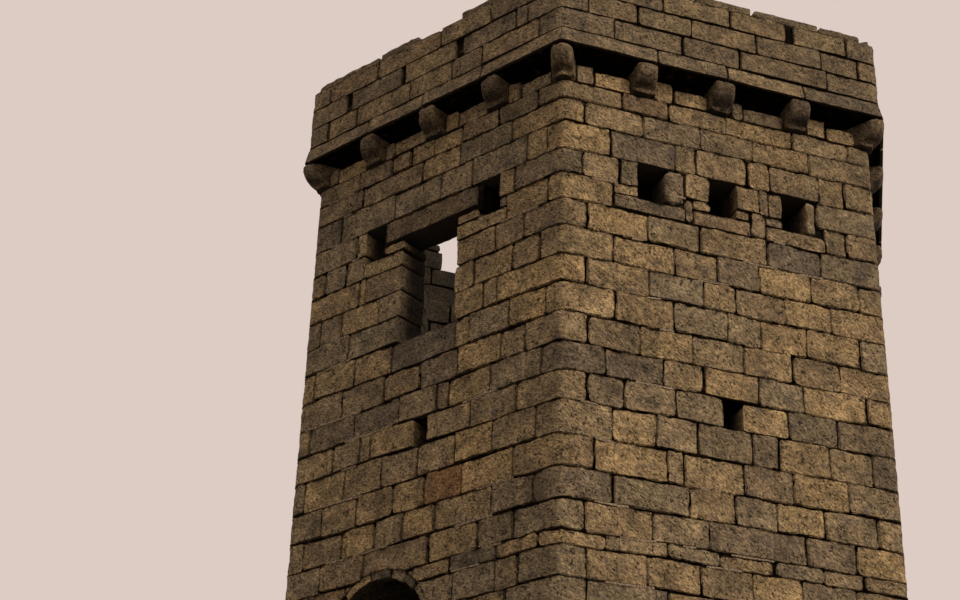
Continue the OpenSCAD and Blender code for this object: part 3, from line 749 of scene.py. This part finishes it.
def behind_ring(block, centre_u):
    """True for a stone that the ring of the arch leaves no room for."""
    far_u = max(abs(block["u"][0] - centre_u), abs(block["u"][1] - centre_u))
    far_z = block["z"][1] - springing_z
    return block["z"][0] > springing_z - 0.1 and math.hypot(far_u, far_z) < ring_outer + 0.05


# Arms of the corner stones: [course][corner] = [arm on the side before, arm on the side after]. Both
# arms together are this long where one of them is read off the photograph
quoin_arms = 0.9
arms = []
rows = []
for course in range(len(course_z) - 1):
    corner_arms = []
    for corner in range(6):
        short = rng.uniform(0.24, 0.36)
        long = rng.uniform(0.56, 0.84)
        long_before = (course + corner) % 2 == 0
        corner_arms.append([long, short] if long_before else [short, long])
    if course < len(front_joints):
        corner_arms[front] = [left_joints[course][0], front_joints[course][0]]
        last_arm = side_l - front_joints[course][-1]
        corner_arms[front_right] = [last_arm, quoin_arms - last_arm]
        first_arm = side_l - left_joints[course][-1]
        corner_arms[front_left] = [quoin_arms - first_arm, first_arm]
    arms.append(corner_arms)
    sides = []
    for side in range(6):
        if course < len(front_joints) and side == front:
            joints = front_joints[course]
        elif course < len(left_joints) and side == front_left:
            joints = [side_l - s for s in reversed(left_joints[course])]
        else:
            joints = random_joints(corner_arms[side][1], side_l - corner_arms[(side + 1) % 6][0],
                                   rows[-1][side] if rows else [])
        sides.append(draw_to_openings(joints, openings[side], course_z[course + 1], course_z[course]))
    for side in range(6):
        corner_arms[side][1] = sides[side][0]
        corner_arms[(side + 1) % 6][0] = side_l - sides[side][-1]
    rows.append(sides)

# Stones of each side and storey; the two sides in the photograph are cut finer above the doorway
arch_centre_u = front_left * side_l + half + door_x
fine_above = course_z[len(front_joints)]
worn_jambs = [sockets[0][1], sockets[2][1]]
groups = {}
for course, sides in enumerate(rows):
    z1, z0 = course_z[course], course_z[course + 1]
    storey = "upper" if z1 > upper_ledge_z + 0.1 else "lower" if z1 > entrance_ledge_z + 0.1 else "base"
    shown = z0 > fine_above - 0.01
    for side, joints in enumerate(sides):
        name = side_names[side] + "_" + storey
        fine = shown and side in (front, front_left)
        group = groups.setdefault((name, fine), [])
        corner_group = groups.setdefault((name, fine or (shown and side == front_right)), [])
        base = side * side_l
        arm_before, arm_after = arms[course][side]
        corner_group.append(stone(base - arm_before, base + arm_after, z0, z1, corner=base))
        for k, (u0, u1) in enumerate(zip(joints, joints[1:])):
            order = len(joints) - 2 - k if side == front_left else k
            tone = own_tones.get((side, course, order))
            jogged = rng.uniform(-0.006, 0.006)
            for part in cut_stones(base, u0, u1, z0 + jogged, z1 + jogged, openings[side], tone):
                # Right of two sockets the jamb is one stone, worn round, from head to foot
                at_jamb = side == front and any(abs(part["u"][0] - u) < beside for u in worn_jambs)
                if at_jamb and abs(part["z"][1] - socket_top_z) < 0.05:
                    width = part["u"][1] - part["u"][0]
                    part["z"] = (socket_foot_z + 0.01, part["z"][1])
                    part["round"] = min(0.13, 0.45 * width)
                    part["soft"] = min(0.05, 0.2 * width)
                elif at_jamb and abs(part["z"][0] - socket_foot_z) < 0.05:
                    continue
                if not behind_ring(part, arch_centre_u):
                    group.append(part)
over_doorway = {"arch_centre": (arch_centre_u, 0, springing_z), "arch_radius": ring_outer}
for (name, fine), stones in groups.items():
    label = name + ("_fine" if fine else "")
    keep_arch = over_doorway if name.startswith("front_left") else {}
    slot = "ashlar_upper" if "upper" in name else "ashlar_lower"
    shallow = [block for block in stones if block["d"][1] <= face_depth]
    deep = [block for block in stones if block["d"][1] > face_depth]
    if shallow:
        lay_stones(label + "_stones", shallow, fine_face if fine else plain_face, wall_stone, slot,
                   apothem, **keep_arch)
    if deep:
        lay_stones(label + "_jamb_stones", deep, fine_block if fine else plain_block, wall_stone,
                   slot, apothem, **keep_arch)


# Pointing: pale lime mortar that was pressed into the joints with a trowel and has mostly crumbled
# away. What is left lies in short lengths between two courses, nearly flush with the stones.
def lime_pointing():
    # Lime mortar: matt, pale pinkish buff where it is whole, grey brown with soot where it is not
    material, tree, shader = start_material("weathered lime pointing", 0.9)
    place = add_node(tree, "ShaderNodeTexCoord").outputs["Object"]
    # Sand and crumbs of 10 mm, with soot in the hollows
    crumbs = add_node(tree, "ShaderNodeTexNoise",
                      {"Vector": place, "Scale": 60, "Detail": 5, "Roughness": 0.7})
    colour = add_node(tree, "ShaderNodeValToRGB", [crumbs])
    set_ramp(colour, [(0.38, "2c231a"), (0.48, "7a654e"), (0.58, "a98e72"), (0.7, "c8ad92")])
    bump = add_node(tree, "ShaderNodeBump", {"Height": crumbs, "Strength": 0.8, "Distance": 0.008})
    tree.links.new(colour.outputs[0], shader.inputs["Base Color"])
    tree.links.new(bump.outputs[0], shader.inputs["Normal"])
    return material


long_strip = stone_blank("long_strip", 6, 1, 0)
strip_d = 0.05
strips = {"fine": [], "plain": []}
for z in course_z[1:-1]:
    for side in range(6):
        seen = side in (front, front_left)
        for _ in range(rng.choice((1, 1, 2, 3) if seen else (0, 1))):
            u0 = rng.uniform(0.1, side_l - 0.7)
            u1 = u0 + rng.uniform(0.12, 0.55)
            clear = all(right < u0 - 0.1 or left > u1 + 0.1 or foot > z + 0.15 or head + 0.7 < z
                        for left, right, foot, head, _ in openings[side])
            if clear:
                z0 = z - rng.uniform(0.01, 0.016)
                z1 = z + rng.uniform(0.01, 0.016)
                strips["fine" if seen else "plain"].append(
                    stone(side * side_l + u0, side * side_l + u1, z0, z1, strip_d,
                          near=rng.uniform(0.001, 0.006), soft=0.005, joint=0.0, worn=0.012))
lime = lime_pointing()
for kind, blank in (("fine", long_strip), ("plain", inner_face)):
    lay_stones("pointing_" + kind, strips[kind], blank, lime, "ashlar_lower", apothem, relief=0.011,
               chip=0.03)


# Inner leaf: the same stone, laid rougher in lime mortar, round the entrance room and the upper
# room. It stops at the doorway, at the slits and at the embrasure behind the window.
lower_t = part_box("front_lower_wall")[1].y + apothem
upper_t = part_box("front_upper_wall")[1].y + apothem
upper_floor_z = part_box("upper_floor_boards")[1].z
splay_w = 0.55
inner_door_d = 0.35
embrasure_w = 1.31
embrasure_d = 0.25


def line_room(name, room_apothem, foot_z, head_z, holes_of, slot):
    room_side = 2 * room_apothem * mitre_slope
    arch_u = front_left * room_side + room_side / 2 + door_x
    has_doorway = foot_z < springing_z
    levels = [head_z] + [z for z in course_z if foot_z + 0.1 < z < head_z - 0.1] + [foot_z]
    stones = []
    before = [[]] * 6
    for z1, z0 in zip(levels, levels[1:]):
        for side in range(6):
            holes = holes_of(side, room_side / 2)
            joints = random_joints(rng.uniform(0.3, 0.7), room_side, before[side])
            before[side] = joints
            for u0, u1 in zip([0.0] + joints, joints):
                parts = cut_stones(side * room_side, u0, u1, z0, z1, holes)
                stones += [part for part in parts if not (has_doorway and behind_ring(part, arch_u))]
    shallow = [block for block in stones if block["d"][1] <= face_depth]
    deep = [block for block in stones if block["d"][1] > face_depth]
    ring = {"arch_centre": (arch_u, 0, springing_z), "arch_radius": ring_outer} if has_doorway else {}
    lay_stones(name + "_lining", shallow, inner_face, wall_stone, slot, room_apothem, facing=1.0, **ring)
    lay_stones(name + "_reveals", deep, inner_block, wall_stone, slot, room_apothem, facing=1.0, **ring)


def entrance_holes(side, middle):
    holes = [(middle - splay_w / 2, middle + splay_w / 2, slit_foot_z, upper_ledge_z, slit_d)]
    if side == front_left:
        holes.append((middle + door_x - door_w / 2, middle + door_x + door_w / 2, threshold_z,
                      springing_z, inner_door_d))
    return holes


def upper_holes(side, middle):
    if side != front_left:
        return []
    return [(middle - embrasure_w / 2, middle + embrasure_w / 2, sill_z, socket_top_z, embrasure_d)]


line_room("entrance_room", apothem - lower_t, threshold_z, upper_ledge_z, entrance_holes, "ashlar_lower")
line_room("upper_room", apothem - upper_t, upper_floor_z, corbel_foot_z, upper_holes, "ashlar_upper")


# Arch of the doorway: a ring of thin wedge-shaped stones of uneven width, as deep as the wall and
# set on the jambs. They are laid out straight and then bent round the centre of the arch.
ring_middle = door_w / 2 + ring_depth / 2
arc = math.pi * ring_middle
arch_crown_z = springing_z + door_w / 2
ring_widths = [0.2, 0.3, 0.17, 0.42, 0.3, 0.24, 0.2, 0.33, 0.25]
# How far each stone's face stands back, and its shade
ring_faces = [0.0, 0.0, 0.01, 0.0, 0.0, 0.01, 0.0, 0.02, 0.0]
ring_tones = [0.3, 0.0, 0.9, 0.45, 0.0, 0.3, 0.0, 0.3, 0.3]
ring_ends = [arch_centre_u - arc / 2 + arc * sum(ring_widths[:k]) / sum(ring_widths)
             for k in range(len(ring_widths) + 1)]
ring_stones = [stone(u0, u1, arch_crown_z, arch_crown_z + ring_depth, lower_t - near, near=near,
                     tone=tone, soft=0.02, worn=rng.uniform(0.02, 0.05))
               for u0, u1, near, tone in zip(ring_ends, ring_ends[1:], ring_faces, ring_tones)]
arch = lay_stones("doorway_arch_stones", ring_stones, fine_block, wall_stone, "ashlar_lower", apothem,
                  relief=0.04, wave=0.0, chip=0.05, rides=False)
# The ring is turned to the front, bent there and turned back, before it rides on the body
to_front = Matrix.Rotation(math.radians(-60 * front_left), 4, "Z")
arch.data.transform(to_front)
for vertex in arch.data.vertices:
    radius = vertex.co.z - springing_z
    swing = (vertex.co.x - door_x) / ring_middle
    vertex.co.x = door_x + radius * math.sin(swing)
    vertex.co.z = springing_z + radius * math.cos(swing)
arch.data.transform(to_front.inverted())
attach(arch, "root")


# Lintel of the window: one long block of the same stone, dressed smoother than the wall. It bears
# on both jambs and carries the masonry over the window.
dressed = sandstone("dressed brown sandstone", [
    (0.00, "5c4b37"), (0.3, "745e42"), (0.6, "66523b"), (1.0, "7e6747")], "40362f", 0.75)
long_block = stone_blank("long_block", 26, 6, 6, (1, 0.5))
lintel_u = front_left * side_l + half
lintel_block = stone(lintel_u - lintel_w / 2, lintel_u + lintel_w / 2, window_head_z, socket_top_z,
                     window_d, tone=0.6)
lintel = lay_stones("lintel_stone", [lintel_block], long_block, dressed, "dressed_stone", apothem)
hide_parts("window_lintel")


# Floors: hewn oak joists laid on the ledges of the walls, and worn boards laid across them, both
# grey with age. Two boards, butted end to end, make one row across the room.
joist_w = 0.16
board_w = 0.19
board_gap = 0.006
mitre_cosine = math.cos(math.radians(30))


def aged_oak(name, colours, across):
    # Hewn or sawn oak, never treated: matt, with its grain open, grey to brown with age
    material, tree, shader = start_material(name, 0.85)
    place = add_node(tree, "ShaderNodeTexCoord").outputs["Object"]
    # Grain 4 mm wide and a hand long, drawn along the timber
    stretched = add_node(tree, "ShaderNodeMapping", {"Vector": place, "Scale": across})
    grain = add_node(tree, "ShaderNodeTexNoise",
                     {"Vector": stretched, "Scale": 6, "Detail": 8, "Roughness": 0.6})
    tone = add_node(tree, "ShaderNodeAttribute", attribute_name="tone")
    shade = add_node(tree, "ShaderNodeMath", [tone.outputs["Fac"], 0.3, grain], operation="MULTIPLY_ADD")
    colour = add_node(tree, "ShaderNodeValToRGB", [shade])
    set_ramp(colour, colours)
    bump = add_node(tree, "ShaderNodeBump", {"Height": grain, "Strength": 0.5, "Distance": 0.01})
    tree.links.new(colour.outputs[0], shader.inputs["Base Color"])
    tree.links.new(bump.outputs[0], shader.inputs["Normal"])
    return material


def lay_timber(name, timbers, material, node, room=None):
    """Timbers as one piece; given the apothem of a room, their ends are cut to its splayed walls."""
    blank = inner_block.data
    count = len(blank.vertices)
    share = read_vectors(blank.attributes["share"].data, "vector")
    rim = read_vectors(blank.attributes["rim"].data, "vector")
    outward = rim / np.linalg.norm(rim, axis=1)[:, None]
    faces = [list(polygon.vertices) for polygon in blank.polygons]
    places = []
    all_faces = []
    tones = []
    soft = 0.006
    for lo, hi in timbers:
        lo, hi = np.array(lo), np.array(hi)
        points = lo + soft + share * (hi - lo - 2 * soft) + soft * outward
        # Old timber wanders and sags by a few millimetres
        wander = rng.uniform(0, 6)
        points[:, 0] += 0.003 * np.sin(points[:, 1] * 3 + wander)
        points[:, 2] -= 0.002 + 0.002 * np.sin(points[:, 0] * 4 + wander)
        if room:
            reach = room / mitre_cosine - np.abs(points[:, 1]) * mitre_slope
            points[:, 0] = np.clip(points[:, 0], -reach, reach)
        all_faces += [[v + len(places) * count for v in face] for face in faces]
        places.append(points)
        tones.append(np.full(count, rng.random(), np.float32))
    mesh = bpy.data.meshes.new(name)
    mesh.from_pydata(np.concatenate(places).tolist(), [], all_faces)
    mesh.attributes.new("tone", "FLOAT", "POINT").data.foreach_set("value", np.concatenate(tones))
    mesh.materials.append(material)
    piece = place_object(name, mesh)
    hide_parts(node)
    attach(piece, "root")


joist_oak = aged_oak("hewn oak, grey with age", [
    (0.3, "241d16"), (0.5, "4a3c2e"), (0.75, "6b5b49"), (1.0, "7d6f5e")], (14, 1, 14))
board_oak = aged_oak("worn oak boards", [
    (0.3, "3a3026"), (0.5, "5f5141"), (0.75, "7d6d5a"), (1.0, "8f8170")], (1, 14, 14))
for storey, joist_count, room_apothem in (("entrance", 9, apothem - lower_t),
                                          ("upper", 10, apothem - upper_t)):
    joist_lo, joist_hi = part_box(storey + "_floor_joists")
    board_lo, board_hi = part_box(storey + "_floor_boards")
    gap = room_apothem - board_hi.y
    corner = room_apothem / mitre_cosine
    timbers = []
    for k in range(joist_count):
        x = (2 * k + 1 - joist_count) * corner / joist_count
        reach = min(room_apothem, (corner - abs(x) - joist_w / 2) / mitre_slope) - gap
        timbers.append(((x - joist_w / 2, -reach, joist_lo.z), (x + joist_w / 2, reach, joist_hi.z)))
    lay_timber(storey + "_joists", timbers, joist_oak, storey + "_floor_joists")
    rows_of_boards = round(2 * board_hi.y / board_w)
    step = 2 * board_hi.y / rows_of_boards
    boards = []
    for k in range(rows_of_boards):
        y0 = board_lo.y + k * step
        y1 = y0 + step - board_gap
        butt = rng.uniform(-0.6, 0.6)
        boards.append(((-corner, y0, board_lo.z), (butt - board_gap / 2, y1, board_hi.z)))
        boards.append(((butt + board_gap / 2, y0, board_lo.z), (corner, y1, board_hi.z)))
    lay_timber(storey + "_boards", boards, board_oak, storey + "_floor_boards",
               board_hi.y)


# Wall head: low stones, two to a bay, bedded in mortar, close the wall between the corbels under the
# open slots, and broader ones carry on to the inner face as a walk.
corbel_w = 0.27
corbel_x = [-0.95, 0.0, 0.95]
beside_corbel = corbel_w / 2 + 0.01
# Room for half of the corbel that lies across each corner
corner_room = 0.165
infill_h = 0.20
walk_arms = (0.3, 0.4)
parapet_inner_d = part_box("front_parapet")[1].y + apothem
walk_d = upper_t - parapet_inner_d
infill = {"fine": [], "plain": []}
walk = []
inner_apothem = apothem - upper_t
inner_side = 2 * inner_apothem * mitre_slope
for side in range(6):
    kind = "fine" if side in (front, front_left) else "plain"
    edges = [corner_room] + [half + x + end for x in corbel_x for end in (-beside_corbel, beside_corbel)]
    edges.append(side_l - corner_room)
    for left, right in zip(edges[0::2], edges[1::2]):
        split = left + (right - left) * rng.uniform(0.22, 0.42)
        for u0, u1, height in ((left, split, infill_h + 0.06), (split, right, infill_h + 0.015)):
            z0 = corbel_foot_z - rng.uniform(0, 0.012)
            z1 = corbel_foot_z + height - rng.uniform(0, 0.03)
            infill[kind].append(stone(side * side_l + u0, side * side_l + u1, z0, z1, parapet_inner_d,
                                      near=rng.uniform(0, 0.006)))
    base = side * inner_side
    joints = random_joints(walk_arms[1], inner_side - walk_arms[0], [])
    for u0, u1 in zip(joints, joints[1:]):
        walk.append(stone(base + u0, base + u1, corbel_foot_z, parapet_z, walk_d))
    walk.append(stone(base - walk_arms[0], base + walk_arms[1], corbel_foot_z, parapet_z, walk_d,
                      corner=base))
for kind, blank in (("fine", fine_block), ("plain", plain_block)):
    lay_stones("wall_head_infill_" + kind, infill[kind], blank, wall_stone, "ashlar_upper", apothem,
               wave=0.01)
lay_stones("wall_walk", walk, inner_block, wall_stone, "ashlar_upper", inner_apothem, facing=1.0,
           wave=0.0)

# Mortar pressed out along the inner foot of the parapet, where it beds on the wall head. It stops
# where the parapet is broken off, break_at from the middle of the two sides there
break_at = 1.0
bed = bmesh.new()
# Its cross-section, as depth into the wall and height
profile = [(parapet_inner_d - 0.06, parapet_z - 0.012), (parapet_inner_d + 0.09, parapet_z - 0.07),
           (parapet_inner_d + 0.05, parapet_z + 0.012), (parapet_inner_d - 0.06, parapet_z + 0.012)]
for side in range(6):
    turn = Matrix.Rotation(math.radians(60 * side), 3, "Z")
    ends = []
    for sign in (-1, 1):
        broken = (side, sign) in ((front_right, 1), (back_right, -1))
        ring = []
        for d, z in profile:
            reach = break_at - 0.05 if broken else (apothem - d) * mitre_slope
            ring.append(bed.verts.new(turn @ Vector((sign * reach, d - apothem, z))))
        ends.append(ring)
    for k in range(4):
        bed.faces.new((ends[0][k], ends[0][k - 1], ends[1][k - 1], ends[1][k]))
    bed.faces.new(ends[0])
    bed.faces.new(reversed(ends[1]))
bmesh.ops.recalc_face_normals(bed, faces=bed.faces)
bed_mesh = bpy.data.meshes.new("parapet_bed")
bed.to_mesh(bed_mesh)
bed.free()
bed_mesh.materials.append(mortar)
parapet_bed = place_object("parapet_bed", bed_mesh)
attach(parapet_bed, "root")


# Corbels: one dressed block each, its square tail built into the wall head and its front rounded
# under, three to a side and one at every corner.
overhang = -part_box("front_parapet")[0].y - apothem
corbel_tail = 0.35
corbel_wear = {"soft": 0.055, "joint": 0.003, "worn": 0.05}
corbel_block = stone_blank("corbel_block", 8, 8, 6, (1, 0.5))
side_corbels = []
corner_corbels = []
corner_side = 2 * side_l * mitre_slope
corner_reach = overhang / mitre_cosine
for side in range(6):
    for x in corbel_x:
        middle = side * side_l + half + x
        side_corbels.append(stone(middle - corbel_w / 2, middle + corbel_w / 2, corbel_foot_z, parapet_z,
                                  overhang + corbel_tail, near=-overhang, **corbel_wear))
    middle = (side + 0.5) * corner_side
    corner_corbels.append(stone(middle - corbel_w / 2, middle + corbel_w / 2, corbel_foot_z, parapet_z,
                                corner_reach + corbel_tail, near=-corner_reach, **corbel_wear))
side_piece = lay_stones("side_corbels", side_corbels, corbel_block, dressed, "dressed_stone", apothem,
                        wave=0.0, nose=overhang)
lay_stones("corner_corbels", corner_corbels, corbel_block, dressed, "dressed_stone", side_l,
           turn=math.radians(-30), wave=0.0, nose=overhang, point=mitre_slope)
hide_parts("corbels")


# Parapet: a sloped foot course on the corbels and three courses above it, all as thick as the
# parapet and bedded in mortar, broken down in steps at one corner and breached at the back.
parapet_stone = sandstone("weathered parapet sandstone", [
    (0.00, "5e4e39"), (0.25, "7a6345"), (0.5, "6d5a42"), (0.75, "806949"), (0.92, "725a3f"),
    (1.00, "504334")], "433830", 0.85)
flare = 0.04
face_out = overhang - flare
parapet_t = 0.36
foot_h = 0.22
course_h = 0.28
parapet_levels = [parapet_z, parapet_z + foot_h] + [parapet_z + foot_h + k * course_h for k in (1, 2, 3)]
# Joints of each course from the near corner, read off the photograph
parapet_front = [[1.07, 1.93, 2.90], [0.55, 1.39, 2.11, 3.22], [0.23, 0.83, 1.50, 2.33, 3.16, 3.64],
                 [1.16, 1.99, 2.72, 2.81, 3.52]]
parapet_left = [[1.06, 1.96, 2.85], [0.23, 1.07, 1.53, 2.19, 3.07, 3.56],
                [0.40, 0.57, 1.38, 1.48, 2.29, 2.35, 3.19, 3.27], [0.96, 1.74, 2.77, 3.57]]
# At the broken corner every course stops this much short of the one below it; the breach in the top
# course is given by its two ends, measured from the middle of its side
break_step = 0.16
breach = (0.49, 1.25)


def whole_part(side, u0, u1, middle, level):
    """What is left of a stone of the parapet where the parapet is broken off or breached."""
    step = break_step * level
    if side == front_right:
        u1 = min(u1, middle + break_at - step)
    if side == back_right:
        u0 = max(u0, middle - break_at + step)
    if side == back and level == 3:
        gap_start, gap_end = middle + breach[0], middle + breach[1]
        if u0 < gap_start < u1 and u1 < gap_end + 0.1:
            u1 = gap_start
        elif u0 < gap_end < u1:
            u0 = gap_end
        elif gap_start < (u0 + u1) / 2 < gap_end:
            return None
    least_stone = 0.14
    return (u0, u1) if u1 - u0 > least_stone else None


for level in range(4):
    at_foot = level == 0
    out = overhang if at_foot else face_out
    row_side = 2 * (apothem + out) * mitre_slope
    spare = (row_side - side_l) / 2
    z0, z1 = parapet_levels[level], parapet_levels[level + 1]
    thick = parapet_t + (flare if at_foot else 0)
    course_arms = [[0.0, 0.0] if at_foot else rng.choice(([0.3, 0.65], [0.6, 0.28]))
                   for _ in range(6)]
    laid_joints = []
    for side in range(6):
        if side == front:
            joints = [s + spare for s in parapet_front[level]]
        elif side == front_left:
            joints = [row_side - s - spare for s in reversed(parapet_left[level])]
        else:
            joints = random_joints(course_arms[side][1], row_side - course_arms[(side + 1) % 6][0], [])
        if at_foot and side in (front, front_left):
            joints = [0.0] + joints + [row_side]
        if side == back and level == 3:
            breach_end = row_side / 2 + breach[1]
            joints = [breach_end if 0 < j - breach_end < 0.4 else j for j in joints]
        laid_joints.append(joints)
    blocks = {"fine": [], "plain": []}
    for side in range(6):
        base = side * row_side
        kind = "fine" if side in (front, front_left) else "plain"
        for u0, u1 in zip(laid_joints[side], laid_joints[side][1:]):
            left = whole_part(side, u0, u1, row_side / 2, level)
            if left:
                blocks[kind].append(stone(base + left[0], base + left[1], z0, z1, thick,
                                          joint=0.003 if at_foot else 0.006))
        if not at_foot and side != back_right:
            start = base - (row_side - laid_joints[side - 1][-1])
            end = base + laid_joints[side][0]
            kind = "fine" if side in (front, front_right, front_left) else "plain"
            blocks[kind].append(stone(start, end, z0, z1, thick, corner=base))
    for kind, stones in blocks.items():
        lay_stones("parapet_course_%d_%s" % (level, kind), stones,
                   fine_block if kind == "fine" else plain_block, parapet_stone, "parapet_stone",
                   apothem + out, batter=flare if at_foot else 0.0, wave=0.015)


# Cap stones: flat slabs bedded on the parapet and set back from its face, with open joints at the
# corners, worn by weather and crusted with lichen; some have fallen.
cap_stone = sandstone("lichened cap sandstone", [
    (0.00, "564935"), (0.4, "6d5a40"), (0.7, "60513b"), (1.0, "736047")], "423a31", 0.9)
cap_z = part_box("front_parapet")[1].z
cap_out = -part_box("parapet_cap_stones")[0].y - apothem
cap_side = 2 * (apothem + cap_out) * mitre_slope
cap_t = cap_out + parapet_inner_d
cap_spare = (cap_side - side_l) / 2
open_joint = 0.016
# Joints from the near corner, read off the photograph
cap_front = (0.80, 1.58, 2.33, 3.19, 3.75)
cap_left = (0.75, 1.48, 2.15, 2.80)
# Missing: one slab on the front left side, all over the broken corner, and those round the breach
fallen = cap_side - cap_left[2] - cap_spare
middle = cap_side / 2
worn_back = 4 * break_step
gone = (middle + breach[0] - break_step, middle + breach[1] + open_joint)
caps = {"fine": [], "plain": []}
for side in range(6):
    kind = "fine" if side in (front, front_left) else "plain"
    if side == front:
        joints = [open_joint] + [s + cap_spare for s in cap_front]
    elif side == front_left:
        joints = [cap_side - s - cap_spare for s in reversed(cap_left)]
        joints = [open_joint] + joints + [cap_side - open_joint]
    else:
        joints = random_joints(open_joint, cap_side - open_joint, [])
    for u0, u1 in zip(joints, joints[1:]):
        if side == front_left and abs(u0 - fallen) < 0.01:
            continue
        if side == front_right:
            u1 = min(u1, middle + break_at - worn_back)
        if side == back_right:
            u0 = max(u0, middle - break_at + worn_back)
        if side == back and gone[0] < u1 and u0 < gone[1]:
            u0, u1 = (u0, gone[0]) if u0 < gone[0] - 0.1 else (gone[1], u1)
        if u1 - u0 > 0.1:
            caps[kind].append(stone(side * cap_side + u0, side * cap_side + u1, cap_z, top_z, cap_t,
                                    soft=0.035))
for kind, blank in (("fine", fine_block), ("plain", plain_block)):
    piece = lay_stones("cap_stones_" + kind, caps[kind], blank, cap_stone, "cap_stone",
                       apothem + cap_out, wave=0.0, relief=0.03)
    if kind == "fine":
        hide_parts("parapet_cap_stones")


# Viewpoint: that of someone standing on the ground off the near corner, between the front and the
# front left side, and looking up. It was worked out from the joints of both sides.
eye = Vector((-7.608, -17.957, 1.613))
heading = Vector((0.3134, 0.9496, 0)).normalized()
pitch = math.radians(29.104)
roll = math.radians(2.089)
forward = heading * math.cos(pitch) + Vector((0, 0, math.sin(pitch)))
level_right = heading.cross(Vector((0, 0, 1)))
level_up = level_right.cross(forward)
view_right = level_right * math.cos(roll) + level_up * math.sin(roll)
view_up = level_up * math.cos(roll) - level_right * math.sin(roll)
camera_data = bpy.data.cameras.new("camera")
camera_data.sensor_width = 36
camera_data.lens = 66.13
camera_data.clip_end = 500
camera = place_object("camera", camera_data)
turned = Matrix((view_right, view_up, -forward)).transposed().to_4x4()
camera.matrix_world = Matrix.Translation(eye) @ turned
bpy.context.scene.camera = camera


# Studio: a plain pale floor and soft light, one wide lamp from the right and the pale sky on every
# side. Both look pale, but the floor throws up no more light than dark earth does.
def looked_at(tree):
    """1 where the camera sees a surface, straight, mirrored or through glass, and 0 for its light."""
    rays = add_node(tree, "ShaderNodeLightPath").outputs
    glossy = add_node(tree, "ShaderNodeMath", [rays["Is Camera Ray"], rays["Is Glossy Ray"]],
                      operation="MAXIMUM")
    return add_node(tree, "ShaderNodeMath", [glossy, rays["Is Transmission Ray"]],
                    operation="MAXIMUM")


world = bpy.data.worlds.new("pale sky")
bpy.context.scene.world = world
world.use_nodes = True
sky = world.node_tree
sky.nodes.clear()
lit = add_node(sky, "ShaderNodeBackground", {"Color": linear("f4efe9"), "Strength": 0.8})
shown = add_node(sky, "ShaderNodeBackground", {"Color": linear("ddccc4"), "Strength": 1.0})
either = add_node(sky, "ShaderNodeMixShader", [looked_at(sky), lit, shown])
add_node(sky, "ShaderNodeOutputWorld", [either])

sun_data = bpy.data.lights.new("soft_sun", "SUN")
sun_data.energy = 1.95
sun_data.angle = math.radians(25)
sun_data.color = (1.0, 0.96, 0.9)
sun = place_object("soft_sun", sun_data)
sun.rotation_euler = Vector((-0.5, 0.78, -0.6)).to_track_quat("-Z", "Y").to_euler()

floor_half = 150
floor_mesh = bpy.data.meshes.new("studio_floor")
floor_corners = [(x * floor_half, y * floor_half, 0) for x, y in ((-1, -1), (1, -1), (1, 1), (-1, 1))]
floor_mesh.from_pydata(floor_corners, [], [(0, 1, 2, 3)])
floor_material, floor_tree, floor_shader = start_material("plain pale floor", 0.9)
floor_colour = add_node(floor_tree, "ShaderNodeMix",
                        {"Factor": looked_at(floor_tree), 6: linear("4b443b"), 7: linear("c9c0b8")},
                        data_type="RGBA")
floor_tree.links.new(floor_colour.outputs[2], floor_shader.inputs["Base Color"])
floor_mesh.materials.append(floor_material)
floor = place_object("studio_floor", floor_mesh)

bpy.context.scene.view_settings.view_transform = "Standard"
for blank in blanks:
    bpy.data.objects.remove(blank)
